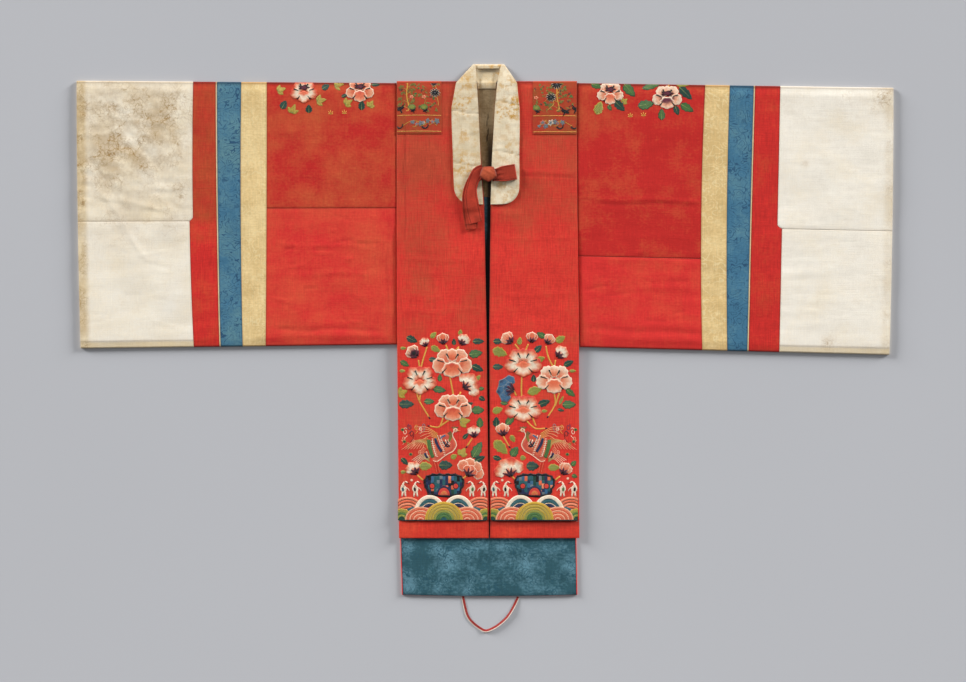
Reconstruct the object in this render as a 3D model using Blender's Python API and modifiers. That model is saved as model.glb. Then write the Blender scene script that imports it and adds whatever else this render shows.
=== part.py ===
"""A Korean bridal robe of lined silk, laid flat on its back with the front up.

Frame: the surface that the robe lies on is Z = 0, +Y points to the collar, and +X along the sleeves to the
wearer's left cuff. The origin is under the middle of the outline. Sizes are metres. Left and right are the wearer's.
"""

import math
from collections import namedtuple

import bmesh
import bpy

# Driving sizes
HALF_SPAN = 0.8976  # centre to the end of a cuff, at the fold
HALF_LENGTH = 0.5841  # centre to the top of the back collar, and to the back hem
SHOULDER_Y = 0.5440  # the fold from front to back
YOKE_Y = 0.2937  # where the undyed upper lining meets the blue one
PANEL_END_Y = -0.4185  # where the front hem bands start
FRONT_HEM_Y = -0.4560
BACK_HEM_SAG = 0.0030  # the back hem is this much lower in its middle

# Thicknesses and levels
WALL = 0.0026  # outer silk, paper interlining and lining together
PRESSED_GAP = 0.0006  # between the two layers of a pressed sleeve
SEAM = 0.0003  # between sewn pieces
SLEEVE_THICK = 2 * WALL + PRESSED_GAP
SLEEVE_FOLD = SLEEVE_THICK / 2  # outer radius of a pressed fold
LINING_WALL = 0.0010
PATCH_WALL = 0.0008
COLLAR_WALL = 0.0020
RIBBON_WALL = 0.0012
LINING_TOP = WALL + SEAM + LINING_WALL
FRONT_TOP = LINING_TOP + 0.0004 + WALL
COLLAR_TOP = FRONT_TOP + SEAM + COLLAR_WALL
LINING_INSET = 0.0020  # the red back shows this much beside the lining

# A line down a sleeve: its distance from the centre at the shoulder fold, half way down and at the lower edge
SleeveLine = namedtuple("SleeveLine", "top middle bottom")
# fold and lower: the height of those edges at the armhole and at the cuff; seam: share of the depth;
# step: how much further in the upper piece of the cuff starts than the lower one
Sleeve = namedtuple("Sleeve", "sign fold_in fold_out lower_in lower_out body_seam cuff_seam step lines")

SLEEVES = {
    "left": Sleeve(
        sign=1,
        fold_in=0.5440,
        fold_out=0.5335,
        lower_in=-0.0363,
        lower_out=-0.0539,
        body_seam=0.655,
        cuff_seam=0.537,
        step=0.0100,
        lines={
            "armhole": SleeveLine(0.2024, 0.2035, 0.2083),
            "yellow": SleeveLine(0.4840, 0.4752, 0.4774),
            "blue": SleeveLine(0.5379, 0.5313, 0.5324),
            "piping": SleeveLine(0.5907, 0.5830, 0.5764),
            "red": SleeveLine(0.5935, 0.5858, 0.5792),
            "cuff": SleeveLine(0.6590, 0.6530, 0.6468),
            "end": SleeveLine(HALF_SPAN, 0.8954, 0.8888),
        },
    ),
    "right": Sleeve(
        sign=-1,
        fold_in=0.5440,
        fold_out=0.5489,
        lower_in=-0.0308,
        lower_out=-0.0396,
        body_seam=0.478,
        cuff_seam=0.526,
        step=0.0075,
        lines={
            "armhole": SleeveLine(0.1943, 0.1943, 0.1936),
            "yellow": SleeveLine(0.4796, 0.4800, 0.4818),
            "blue": SleeveLine(0.5357, 0.5368, 0.5324),
            "piping": SleeveLine(0.5890, 0.5868, 0.5808),
            "red": SleeveLine(0.5918, 0.5896, 0.5836),
            "cuff": SleeveLine(0.6488, 0.6495, 0.6400),
            "end": SleeveLine(HALF_SPAN, 0.8950, 0.8888),
        },
    ),
}

# The body's long edges at some heights: the armhole edge and the front opening edge of each front
BodyRow = namedtuple("BodyRow", "y right_side right_opening left_opening left_side")
BODY_ROWS = [
    BodyRow(SHOULDER_Y, -0.1941, -0.0190, 0.0280, 0.2021),
    BodyRow(0.4750, -0.1943, -0.0155, 0.0230, 0.2020),
    BodyRow(0.2770, -0.1943, -0.0018, 0.0123, 0.2029),
    BodyRow(0.0120, -0.1935, 0.0031, 0.0097, 0.2064),
    BodyRow(PANEL_END_Y, -0.1893, 0.0083, 0.0112, 0.2072),
    BodyRow(FRONT_HEM_Y, -0.1890, 0.0086, 0.0113, 0.2075),
]
BackRow = namedtuple("BackRow", "y right_side left_side")
BACK_ROWS = [
    BackRow(SHOULDER_Y, -0.1940, 0.2020),
    BackRow(0.0120, -0.1905, 0.2020),
    BackRow(FRONT_HEM_Y, -0.1868, 0.2010),
    BackRow(-HALF_LENGTH, -0.1826, 0.2033),
]
# Each collar band, from the top of the back collar to its round lower end: distances from X = 0
CollarRow = namedtuple("CollarRow", "y outer inner")
COLLAR_ROWS = {
    "left": [
        CollarRow(HALF_LENGTH, 0.0433, 0.0355),
        CollarRow(SHOULDER_Y, 0.0700, 0.0268),
        CollarRow(0.4900, 0.0762, 0.0218),
        CollarRow(0.3817, 0.0756, 0.0154),
        CollarRow(0.2772, 0.0750, 0.0121),
    ],
    "right": [
        CollarRow(HALF_LENGTH, 0.0273, 0.0215),
        CollarRow(SHOULDER_Y, 0.0634, 0.0180),
        CollarRow(0.4900, 0.0739, 0.0147),
        CollarRow(0.3817, 0.0708, 0.0099),
        CollarRow(0.2772, 0.0665, 0.0040),
    ],
}
COLLAR_CORNER = 0.036  # radius of the bands' lower outer corners
COLLAR_TOP_DROP = 0.0038  # the bands lie this much lower at the back of the neck

# The back collar, from its lower edge inside the neck to the fold at its top
NeckRow = namedtuple("NeckRow", "y z right_side left_side")
NECK_ROWS = [
    NeckRow(0.5313, LINING_TOP + SEAM, -0.0160, 0.0240),
    NeckRow(SHOULDER_Y + 0.0005, LINING_TOP + SEAM, -0.0168, 0.0245),
    NeckRow(SHOULDER_Y + 0.0040, 0.0036, -0.0200, 0.0290),
    NeckRow(HALF_LENGTH - 0.0150, 0.0000, -0.0240, 0.0390),
    NeckRow(HALF_LENGTH, 0.0000, -0.0265, 0.0425),
]
NECK_WALL = 0.0010
NECK_RIM_FOLD = 0.0015  # outer radius of the fold at the top of the back collar
NECK_RIM_DEPTH = 0.0088

# The older embroidered patches on the shoulders
Patch = namedtuple("Patch", "inner lower")
PATCHES = {"left": Patch(0.1047, 0.4301), "right": Patch(-0.0953, 0.4312)}

# The tie: stations down the middle of each ribbon tail, from the knot to its free end
Station = namedtuple("Station", "x y width")
TAIL_UNDER = [
    Station(-0.0135, 0.3430, 0.026),
    Station(-0.0262, 0.3290, 0.025),
    Station(-0.0335, 0.3110, 0.026),
    Station(-0.0360, 0.2940, 0.028),
    Station(-0.0350, 0.2750, 0.030),
    Station(-0.0325, 0.2500, 0.030),
    Station(-0.0285, 0.2222, 0.029),
]
TAIL_OVER = [
    Station(-0.0125, 0.3455, 0.028),
    Station(-0.0231, 0.3333, 0.026),
    Station(-0.0293, 0.3148, 0.024),
    Station(-0.0312, 0.2974, 0.028),
    Station(-0.0290, 0.2805, 0.030),
    Station(-0.0253, 0.2598, 0.031),
    Station(-0.0196, 0.2365, 0.029),
]
RIBBON_STEP = (0.2560, 0.2700)  # heights between which the tails come down from the collar to the front
KNOT_CENTRE = (0.0094, 0.3438)
KNOT_SIZE = (0.0340, 0.0330, 0.0080)
BOW = namedtuple("Bow", "start end width thick")((0.0150, 0.3398), (0.0680, 0.3483), 0.0320, 2 * RIBBON_WALL + SEAM)

# The hanging loop at the back hem: a flat ribbon that lies on the surface and turns on edge at its left half
LOOP_WIDTH = 0.0060
LOOP_WALL = 0.0010
LOOP_ROUTE = [
    (-0.0493, -0.5848),
    (-0.0442, -0.6092),
    (-0.0387, -0.6274),
    (-0.0288, -0.6413),
    (-0.0121, -0.6545),
    (0.0020, -0.6604),
    (0.0202, -0.6534),
    (0.0356, -0.6428),
    (0.0497, -0.6290),
    (0.0623, -0.6092),
    (0.0735, -0.5861),
]
LOOP_TILT = math.radians(62)
LOOP_POINTS = 34

COLOURS = {
    "red_silk": (0.62, 0.055, 0.035),
    "hem_silk": (0.60, 0.060, 0.035),
    "blue_damask": (0.075, 0.19, 0.26),
    "yellow_damask": (0.70, 0.51, 0.25),
    "white_silk": (0.80, 0.74, 0.62),
    "collar_silk": (0.72, 0.60, 0.42),
    "blue_lining": (0.045, 0.13, 0.17),
    "undyed_lining": (0.33, 0.25, 0.15),
    "patch_silk": (0.42, 0.09, 0.03),
    "tie_silk": (0.32, 0.045, 0.022),
    "loop_ribbon": (0.48, 0.05, 0.04),
}


def clear_scene():
    for obj in list(bpy.data.objects):
        bpy.data.objects.remove(obj)


def material(name):
    """The one Principled material of that name."""
    found = bpy.data.materials.get(name)
    if found:
        return found
    made = bpy.data.materials.new(name)
    made.use_nodes = True
    shader = made.node_tree.nodes["Principled BSDF"]
    shader.inputs["Base Color"].default_value = (*COLOURS[name], 1.0)
    shader.inputs["Roughness"].default_value = 0.6
    shader.inputs["Metallic"].default_value = 0.0
    return made


def between(rows, y, column):
    """The named column of a table at height y, on straight lines between its rows."""
    rows = sorted(rows, key=lambda row: row.y)
    y = min(max(y, rows[0].y), rows[-1].y)
    for low, high in zip(rows, rows[1:]):
        if y <= high.y:
            share = (y - low.y) / (high.y - low.y)
            return getattr(low, column) * (1 - share) + getattr(high, column) * share
    return getattr(rows[-1], column)


def smooth_step(value, start, end):
    share = min(max((value - start) / (end - start), 0.0), 1.0)
    return share * share * (3 - 2 * share)


def cloth(name, columns, rows, place, wall, finish, closed=False):
    """A wall of cloth: a grid moved onto the outer surface place(column, row), thickened inwards."""
    mesh = bpy.data.meshes.new(name)
    shape = bmesh.new()
    bmesh.ops.create_grid(shape, x_segments=columns, y_segments=rows, size=0.5)
    for vertex in shape.verts:
        column = round((vertex.co.x + 0.5) * columns)
        row = round((vertex.co.y + 0.5) * rows)
        vertex.co = place(column, row)
    if closed:
        bmesh.ops.remove_doubles(shape, verts=shape.verts, dist=1e-6)
    shape.to_mesh(mesh)
    shape.free()
    mesh.materials.append(material(finish))
    obj = bpy.data.objects.new(name, mesh)
    robe.objects.link(obj)
    thicken = obj.modifiers.new("wall", "SOLIDIFY")
    thicken.thickness = wall
    thicken.offset = -1
    return obj


# Sleeves


def line_at(line, share):
    """A sleeve line's distance from the centre at a share of the sleeve's depth, on a smooth bow."""
    top = line.top * (1 - share) * (1 - 2 * share)
    middle = line.middle * 4 * share * (1 - share)
    bottom = line.bottom * share * (2 * share - 1)
    return top + middle + bottom


def sleeve_distance(sleeve, line, share):
    distance = line_at(sleeve.lines[line], share)
    if line == "cuff" and share < sleeve.cuff_seam:
        distance -= sleeve.step
    return distance


def sleeve_y(sleeve, distance, share):
    """Height on the pressed walls, which stop short of the folds by the folds' radius."""
    inner, outer = sleeve.lines["armhole"].top, HALF_SPAN
    along = (distance - inner) / (outer - inner)
    fold = sleeve.fold_in + (sleeve.fold_out - sleeve.fold_in) * along
    lower = sleeve.lower_in + (sleeve.lower_out - sleeve.lower_in) * along
    y = fold + (lower - fold) * share
    return min(max(y, lower + SLEEVE_FOLD), fold - SLEEVE_FOLD)


# A point of a sleeve's section: share of the depth, how far it stands past the wall's end, and its level
Point = namedtuple("Point", "share past z")


def fold_points(share, direction, start, end):
    """The round of a pressed fold, between two angles in steps of 30 degrees."""
    step = 30 if end > start else -30
    points = []
    for degrees in range(start, end + step, step):
        angle = math.radians(degrees)
        past = direction * SLEEVE_FOLD * math.cos(angle)
        points.append(Point(share, past, SLEEVE_FOLD * (1 + math.sin(angle))))
    return points


def section(sleeve, seam, piece):
    """The outer surface of a pressed sleeve, up the front, over the fold and down the back, or a part of it."""
    gap = SEAM / 2 / (sleeve.fold_in - sleeve.lower_in)
    seams = {s + side for s in (sleeve.body_seam, sleeve.cuff_seam) for side in (-gap, gap)}
    shares = sorted({0.0, 0.12, 0.25, 0.38, 0.6, 0.78, 0.9, 1.0} | seams)
    front = [Point(share, 0.0, SLEEVE_THICK) for share in reversed(shares)]
    back = [Point(share, 0.0, 0.0) for share in shares]
    top = fold_points(0.0, 1, 60, -60)
    bottom = fold_points(1.0, -1, -60, 60)
    if piece == "whole":
        return front + top + back + bottom + front[:1]
    if piece == "upper":
        return [p for p in front if p.share < seam] + top + [p for p in back if p.share < seam]
    return [p for p in back if p.share > seam] + bottom + [p for p in front if p.share > seam]


def sleeve_piece(name, side, start, end, finish, piece="whole", seam=None):
    """The cloth between two lines down a sleeve, all round it or above or below its seam."""
    sleeve = SLEEVES[side]
    points = section(sleeve, seam or sleeve.cuff_seam, piece)

    def place(column, row):
        point = points[row]
        near = sleeve_distance(sleeve, start, point.share) + SEAM / 2
        far = sleeve_distance(sleeve, end, point.share) - SEAM / 2
        at_far = column if sleeve.sign > 0 else 1 - column
        distance = far if at_far else near
        return sleeve.sign * distance, sleeve_y(sleeve, distance, point.share) + point.past, point.z

    cloth(name, 1, len(points) - 1, place, WALL, finish, closed=piece == "whole")


def build_sleeve(side):
    sleeve = SLEEVES[side]
    for piece in ("upper", "lower"):
        sleeve_piece(f"sleeve_{side}_{piece}", side, "armhole", "yellow", "red_silk", piece, sleeve.body_seam)
        sleeve_piece(f"cuff_{side}_{piece}", side, "cuff", "end", "white_silk", piece, sleeve.cuff_seam)
    sleeve_piece(f"yellow_band_{side}", side, "yellow", "blue", "yellow_damask")
    sleeve_piece(f"blue_band_{side}", side, "blue", "piping", "blue_damask")
    sleeve_piece(f"piping_{side}", side, "piping", "red", "yellow_damask")
    sleeve_piece(f"red_band_{side}", side, "red", "cuff", "red_silk")


# Body


def panel(name, heights, edges, top, wall, finish, columns=1, sag=0.0):
    """A flat panel: rows at the heights, from the lowest, between the two edges that edges(y) gives."""

    def place(column, row):
        y = heights[row]
        left, right = edges(y)
        share = column / columns
        drop = sag * (1 - (2 * share - 1) ** 2) if row == 0 else 0.0
        return left + (right - left) * share, y - drop, top

    cloth(name, columns, len(heights) - 1, place, wall, finish)


def heights_between(rows, low, high):
    return sorted({low, high, *(row.y for row in rows if low < row.y < high)})


def front_edges(side):
    def edges(y):
        opening = between(BODY_ROWS, y, f"{side}_opening")
        armhole = between(BODY_ROWS, y, f"{side}_side")
        gap = SEAM / 2
        return (armhole + gap, opening) if side == "right" else (opening, armhole - gap)

    return edges


def build_fronts():
    for side in ("left", "right"):
        edges = front_edges(side)
        heights = heights_between(BODY_ROWS, PANEL_END_Y, SHOULDER_Y)
        panel(f"front_{side}", heights, edges, FRONT_TOP, WALL, "red_silk")
        band = [FRONT_HEM_Y, PANEL_END_Y - SEAM]
        panel(f"front_hem_{side}", band, edges, FRONT_TOP, WALL, "hem_silk")


def build_back():
    def edges_inset(inset):
        return lambda y: (
            between(BACK_ROWS, y, "right_side") + inset,
            between(BACK_ROWS, y, "left_side") - inset,
        )

    hem = -HALF_LENGTH + BACK_HEM_SAG
    heights = heights_between(BACK_ROWS, hem, SHOULDER_Y)
    panel("back", heights, edges_inset(SEAM), WALL, WALL, "red_silk", 6, BACK_HEM_SAG)
    lower = heights_between(BACK_ROWS, hem + LINING_INSET, YOKE_Y - SEAM)
    panel("back_lining", lower, edges_inset(LINING_INSET), LINING_TOP, LINING_WALL, "blue_lining", 6, BACK_HEM_SAG)
    upper = [YOKE_Y, SHOULDER_Y]
    panel("back_lining_yoke", upper, edges_inset(LINING_INSET), LINING_TOP, LINING_WALL, "undyed_lining")


def build_patches():
    top = FRONT_TOP + SEAM + PATCH_WALL
    for side, patch in PATCHES.items():
        edge = f"{side}_side"
        armhole = between(BODY_ROWS, SHOULDER_Y, edge)
        inset = -SEAM if side == "left" else SEAM
        ends = sorted((patch.inner, armhole + inset))
        panel(f"shoulder_patch_{side}", [patch.lower, SHOULDER_Y], lambda y, e=ends: e, top, PATCH_WALL, "patch_silk")


# Collar


def collar_level(y):
    """The top of a collar band: on the front, and sloping down past the shoulder fold to the back of the neck."""
    start = SHOULDER_Y + SEAM
    slope = max(0.0, (y - start) / (HALF_LENGTH - start))
    return COLLAR_TOP - COLLAR_TOP_DROP * slope


def build_collar_band(side):
    rows = COLLAR_ROWS[side]
    end = rows[-1].y
    sign = 1 if side == "left" else -1
    corner = [end + COLLAR_CORNER * (1 - math.cos(math.radians(a))) for a in (0, 18, 36, 54, 72, 90)]
    heights = sorted({*corner, SHOULDER_Y + SEAM, *(row.y for row in rows)})
    columns = 4

    def place(column, row):
        y = heights[row]
        outer = between(rows, y, "outer")
        inner = between(rows, y, "inner")
        down = max(0.0, COLLAR_CORNER - (y - end))
        outer -= COLLAR_CORNER - math.sqrt(max(COLLAR_CORNER**2 - down**2, 0.0))
        share = column / columns if sign > 0 else 1 - column / columns
        return sign * (inner + (outer - inner) * share), y, collar_level(y)

    cloth(f"collar_{side}", columns, len(heights) - 1, place, COLLAR_WALL, "collar_silk")


def build_back_collar():
    """The inside of the collar at the back of the neck, with the hem turned over along its top."""
    flat = [(row.y, row.z) for row in NECK_ROWS[:-1]]
    top = HALF_LENGTH - NECK_RIM_FOLD
    flat.append((top, 0.0))
    rolled = []
    for degrees in (-60, -30, 0, 30, 60, 90):
        angle = math.radians(degrees)
        rolled.append((top + NECK_RIM_FOLD * math.cos(angle), NECK_RIM_FOLD * (1 + math.sin(angle))))
    rolled.append((HALF_LENGTH - NECK_RIM_DEPTH, 2 * NECK_RIM_FOLD))
    path = flat + rolled
    columns = 4

    def place(column, row):
        y, z = path[row]
        low = between(NECK_ROWS, y, "right_side")
        high = between(NECK_ROWS, y, "left_side")
        return high + (low - high) * column / columns, y, z

    cloth("collar_back", columns, len(path) - 1, place, NECK_WALL, "collar_silk")


# Tie and loop


def curve_through(points, count):
    """count points evenly spaced by index on a smooth curve through the given ones, of any dimension."""
    made = []
    last = len(points) - 1
    for step in range(count):
        position = step / (count - 1) * last
        index = min(int(position), last - 1)
        t = position - index
        a, b, c, d = (points[min(max(index + k, 0), last)] for k in (-1, 0, 1, 2))
        made.append(
            tuple(
                0.5 * (2 * q + (r - p) * t + (2 * p - 5 * q + 4 * r - s) * t**2 + (3 * q - p - 3 * r + s) * t**3)
                for p, q, r, s in zip(a, b, c, d)
            )
        )
    return made


def across(path, index):
    """The unit vector to the right of a flat path at one of its points."""
    before, after = path[max(index - 1, 0)], path[min(index + 1, len(path) - 1)]
    dx, dy = after[0] - before[0], after[1] - before[1]
    length = math.hypot(dx, dy)
    return dy / length, -dx / length


def ribbon_tail(name, stations, layer):
    """A flat ribbon that lies on the collar and comes down onto the front past its end."""
    path = curve_through([tuple(s) for s in stations], 19)
    columns = 2

    def place(column, row):
        x, y, width = path[row]
        rx, ry = across(path, row)
        offset = width * (column / columns - 0.5)
        x, y = x + rx * offset, y + ry * offset
        base = FRONT_TOP + (COLLAR_TOP - FRONT_TOP) * smooth_step(y, *RIBBON_STEP)
        return x, y, base + (layer + 1) * (SEAM + RIBBON_WALL)

    cloth(name, columns, len(path) - 1, place, RIBBON_WALL, "tie_silk")


def build_bow():
    """The loop of the half bow: a ribbon doubled back on itself."""
    start, end = BOW.start, BOW.end
    length = math.dist(start, end)
    direction = ((end[0] - start[0]) / length, (end[1] - start[1]) / length)
    radius = BOW.thick / 2
    path = [(0.0, 0.0), (length - radius, 0.0)]
    for degrees in (-60, -30, 0, 30, 60):
        angle = math.radians(degrees)
        path.append((length - radius * (1 - math.cos(angle)), radius * (1 + math.sin(angle))))
    path += [(length - radius, BOW.thick), (0.0, BOW.thick)]
    bottom = COLLAR_TOP + SEAM

    def place(column, row):
        run, rise = path[row]
        offset = BOW.width * (column - 0.5)
        x = start[0] + direction[0] * run - direction[1] * offset
        y = start[1] + direction[1] * run + direction[0] * offset
        return x, y, bottom + rise

    cloth("tie_bow", 1, len(path) - 1, place, RIBBON_WALL, "tie_silk")


def build_knot():
    """The wrapped knot: a low cushion on the ends of the tails and of the half bow."""
    mesh = bpy.data.meshes.new("tie_knot")
    shape = bmesh.new()
    bmesh.ops.create_cube(shape, size=1.0)
    for vertex in shape.verts:
        vertex.co = [value * size for value, size in zip(vertex.co, KNOT_SIZE)]
    shape.to_mesh(mesh)
    shape.free()
    mesh.materials.append(material("tie_silk"))
    obj = bpy.data.objects.new("tie_knot", mesh)
    bottom = COLLAR_TOP + 2 * (SEAM + RIBBON_WALL) + SEAM
    obj.location = (*KNOT_CENTRE, bottom + KNOT_SIZE[2] / 2)
    robe.objects.link(obj)
    round_off = obj.modifiers.new("round", "BEVEL")
    round_off.width = KNOT_SIZE[2] * 0.42
    round_off.segments = 3


def build_loop():
    path = curve_through(LOOP_ROUTE, LOOP_POINTS)

    def place(column, row):
        x, y = path[row]
        rx, ry = across(path, row)
        share = row / (len(path) - 1)
        tilt = LOOP_TILT * smooth_step(share, 0.35, 0.6) * (1 - smooth_step(share, 0.85, 1.0))
        offset = LOOP_WIDTH * (column - 0.5)
        flat, rise = math.cos(tilt) * offset, math.sin(tilt) * (offset + LOOP_WIDTH / 2)
        return x + rx * flat, y + ry * flat, LOOP_WALL + rise

    cloth("hanging_loop", 1, len(path) - 1, place, LOOP_WALL, "loop_ribbon")


clear_scene()
robe = bpy.data.collections.new("bridal_robe")
bpy.context.scene.collection.children.link(robe)
build_back()
build_fronts()
build_patches()
for wearer_side in ("left", "right"):
    build_sleeve(wearer_side)
    build_collar_band(wearer_side)
build_back_collar()
ribbon_tail("tie_tail_under", TAIL_UNDER, 0)
ribbon_tail("tie_tail_over", TAIL_OVER, 1)
build_bow()
build_knot()
build_loop()
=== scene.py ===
# %% [markdown]
# # A Korean bridal robe, laid flat
# The robe is a wide straight coat of red silk, lined and interlined, with banded sleeves, white cuffs, a stained
# white collar and two embroidered fronts. It is spread out on its back. Every piece that a maker would cut is a
# cloth of its own here: a grid of faces moved onto its surface, then given the thickness of three layers of cloth.
#
# The solid model is loaded first. It stays where it is and gives each piece its place.

# %% Load the solid model
import math
from collections import namedtuple

import bpy
import numpy as np
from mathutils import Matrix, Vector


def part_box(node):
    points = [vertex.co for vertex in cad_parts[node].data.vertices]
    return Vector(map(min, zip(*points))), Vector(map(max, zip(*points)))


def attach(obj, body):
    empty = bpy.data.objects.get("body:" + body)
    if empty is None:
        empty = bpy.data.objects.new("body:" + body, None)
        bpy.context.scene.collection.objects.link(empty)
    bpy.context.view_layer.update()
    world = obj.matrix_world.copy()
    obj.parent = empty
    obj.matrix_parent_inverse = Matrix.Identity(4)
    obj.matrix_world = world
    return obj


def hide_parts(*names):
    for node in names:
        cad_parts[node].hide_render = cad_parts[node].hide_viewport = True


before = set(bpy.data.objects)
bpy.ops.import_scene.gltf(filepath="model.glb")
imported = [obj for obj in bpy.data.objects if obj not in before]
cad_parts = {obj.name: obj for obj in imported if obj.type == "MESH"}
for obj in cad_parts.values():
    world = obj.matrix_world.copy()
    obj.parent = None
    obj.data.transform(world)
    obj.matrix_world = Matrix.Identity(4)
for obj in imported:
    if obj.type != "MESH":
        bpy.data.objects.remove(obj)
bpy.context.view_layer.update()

# %% [markdown]
# ## Camera, floor and light
# The robe was laid on a pale grey floor and seen from straight above. A long lens from five metres up keeps the
# sleeves' ends as square as the middle. The light of a studio is soft and comes from both upper sides, so every
# edge has a wide, faint shadow below it. Soft sun lamps low at both sides do that, with one from high above; a
# bright world fills the rest.

# %% Camera and floor
FIELD_WIDTH = 2.125  # metres across the view
CAMERA_HEIGHT = 5.0
camera_data = bpy.data.cameras.new("camera")
camera_data.lens = camera_data.sensor_width * CAMERA_HEIGHT / FIELD_WIDTH
camera = bpy.data.objects.new("camera", camera_data)
camera.location = (-0.0044, -0.0231, CAMERA_HEIGHT)
bpy.context.scene.collection.objects.link(camera)
bpy.context.scene.camera = camera
bpy.context.scene.view_settings.view_transform = "Standard"


def deselect():
    bpy.ops.object.select_all(action="DESELECT")


deselect()
bpy.ops.mesh.primitive_plane_add(size=12.0, location=(0, 0, -0.0001))
floor = bpy.context.object
floor.name = "floor"
bpy.ops.object.transform_apply(location=True)
print("lens", round(camera_data.lens, 1), "mm")

# %% Lights
Lamp = namedtuple("Lamp", "name azimuth elevation softness strength")
LAMPS = [
    Lamp("upper_left", 148, 12, 18, 5.0),
    Lamp("upper_right", 32, 12, 18, 5.0),
    Lamp("overhead", 95, 72, 60, 0.30),
]
for lamp in LAMPS:
    light = bpy.data.lights.new(lamp.name, "SUN")
    light.angle = math.radians(lamp.softness)
    light.energy = lamp.strength
    holder = bpy.data.objects.new(lamp.name, light)
    turn, rise = math.radians(lamp.azimuth), math.radians(lamp.elevation)
    holder.rotation_euler = (math.pi / 2 - rise, 0, turn + math.pi / 2)
    holder.location = (2 * math.cos(turn), 2 * math.sin(turn), 2)
    bpy.context.scene.collection.objects.link(holder)
world = bpy.data.worlds.new("studio")
world.use_nodes = True
world.node_tree.nodes["Background"].inputs["Color"].default_value = (0.97, 0.98, 1.0, 1.0)
world.node_tree.nodes["Background"].inputs["Strength"].default_value = 0.20
bpy.context.scene.world = world
print(len(LAMPS), "lamps")

# %% [markdown]
# ## Silk that is old
# Three things make these silks look real at arm's length. Fine ribs run across them where one thread in the
# weave is thicker than its neighbours. The dye has faded unevenly, most along the shoulders and folds. And a dark
# colour is painted into creases, folds, seams, edges and places under other pieces: painted shade, with some dust.
# The weave is bump from two crossing waves, the ribs are a noise stretched along the thread, and fading, stains and
# this painted shade with dust are painted onto each cloth's points as three channels called tone.

# %% A short way to write materials
LIGHT = 0.95  # how much of a colour comes back from a surface that faces the light


def dye(red, green, blue):
    """The colour of a surface that looks like this, in steps of 0 to 255, when it lies flat under these lights."""
    linear = [((v / 255 + 0.055) / 1.055) ** 2.4 if v > 10 else v / 255 / 12.92 for v in (red, green, blue)]
    return (*(min(value / LIGHT, 0.95) for value in linear), 1.0)


class Recipe:
    """A material's node tree, with nodes added by name; a socket given as a value is linked."""

    def __init__(self, name):
        self.material = bpy.data.materials.new(name)
        self.material.use_nodes = True
        self.tree = self.material.node_tree
        self.shader = self.tree.nodes["Principled BSDF"]

    def put(self, target, value):
        if isinstance(value, bpy.types.NodeSocket):
            self.tree.links.new(value, target)
        else:
            target.default_value = value

    def add(self, kind, *values, out=0, **settings):
        """Adds a node. values fill its inputs in order, and settings that name an input fill that one."""
        node = self.tree.nodes.new("ShaderNode" + kind)
        for name, value in settings.items():
            if name[0].islower():
                setattr(node, name, value)
        for socket, value in zip(node.inputs, values):
            if value is not None:
                self.put(socket, value)
        for name, value in settings.items():
            if not name[0].islower():
                self.put(node.inputs[name.replace("_", " ")], value)
        return node.outputs[out]

    def math(self, operation, *values, clamp=False):
        return self.add("Math", *values, operation=operation, use_clamp=clamp)

    def vector(self, operation, *values):
        return self.add("VectorMath", *values, operation=operation)

    def mix(self, factor, first, second, blend="MIX"):
        node = self.tree.nodes.new("ShaderNodeMix")
        node.data_type = "RGBA"
        node.blend_type = blend
        for index, value in ((0, factor), (6, first), (7, second)):
            self.put(node.inputs[index], value)
        return node.outputs[2]

    def between(self, value, low, high, new_low=0.0, new_high=1.0):
        return self.add("MapRange", value, low, high, new_low, new_high, interpolation_type="SMOOTHSTEP")

    def parts(self, kind, value):
        """All outputs of a node that takes a value apart."""
        return self.add(kind, value, out=slice(None))

    def surface(self, **inputs):
        """Fills inputs of the surface shader by name."""
        for name, value in inputs.items():
            self.put(self.shader.inputs[name.replace("_", " ")], value)

    def noise(self, vector, scale, detail=2.0, stretch=(1, 1, 1), rough=0.5):
        stretched = self.vector("MULTIPLY", vector, stretch)
        return self.add("TexNoise", Vector=stretched, Scale=scale, Detail=detail, Roughness=rough)


paper = Recipe("pale_floor")
cloud = paper.noise(paper.add("TexCoord", out=3), 0.8)
paper.surface(Base_Color=paper.mix(cloud, dye(181, 182, 186), dye(187, 188, 192)), Roughness=0.9,
              Specular_IOR_Level=0.1)
floor.data.materials.append(paper.material)
print("recipes ready")

# %% The woven figures of damask
def figures(recipe, uv, size, thin):
    """Scrolling vines as tone-on-tone damask has: 1 on a vine, 0 beside it. size is their pace in metres."""
    bent = recipe.noise(uv, 1 / size, 1.5, rough=0.5)
    vines = recipe.math("PINGPONG", recipe.math("MULTIPLY", bent, 8.0), 0.5)
    stems = recipe.between(vines, thin * 0.6, thin, 1.0, 0.0)
    petals = recipe.add("TexVoronoi", Vector=uv, Scale=1.6 / size)
    return recipe.math("MAXIMUM", stems, recipe.between(petals, 0.14, 0.22, 0.8, 0.0))


# %% A woven silk
WEAVE = 2 * math.pi / 0.0007  # ribs of 0.7 mm


RIB_SHARES = (3.6, 6.0, 4.0, 7.0)  # how much of ribs goes to slubs, threads, grain and faded patches
CRACK_EDGES = (0.016, 0.016, 0.016)  # metres that the rims of a dried stain wander
Stain = namedtuple("Stain", "colour scale start cracks clouds")
Figure = namedtuple("Figure", "size thin colour")


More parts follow.
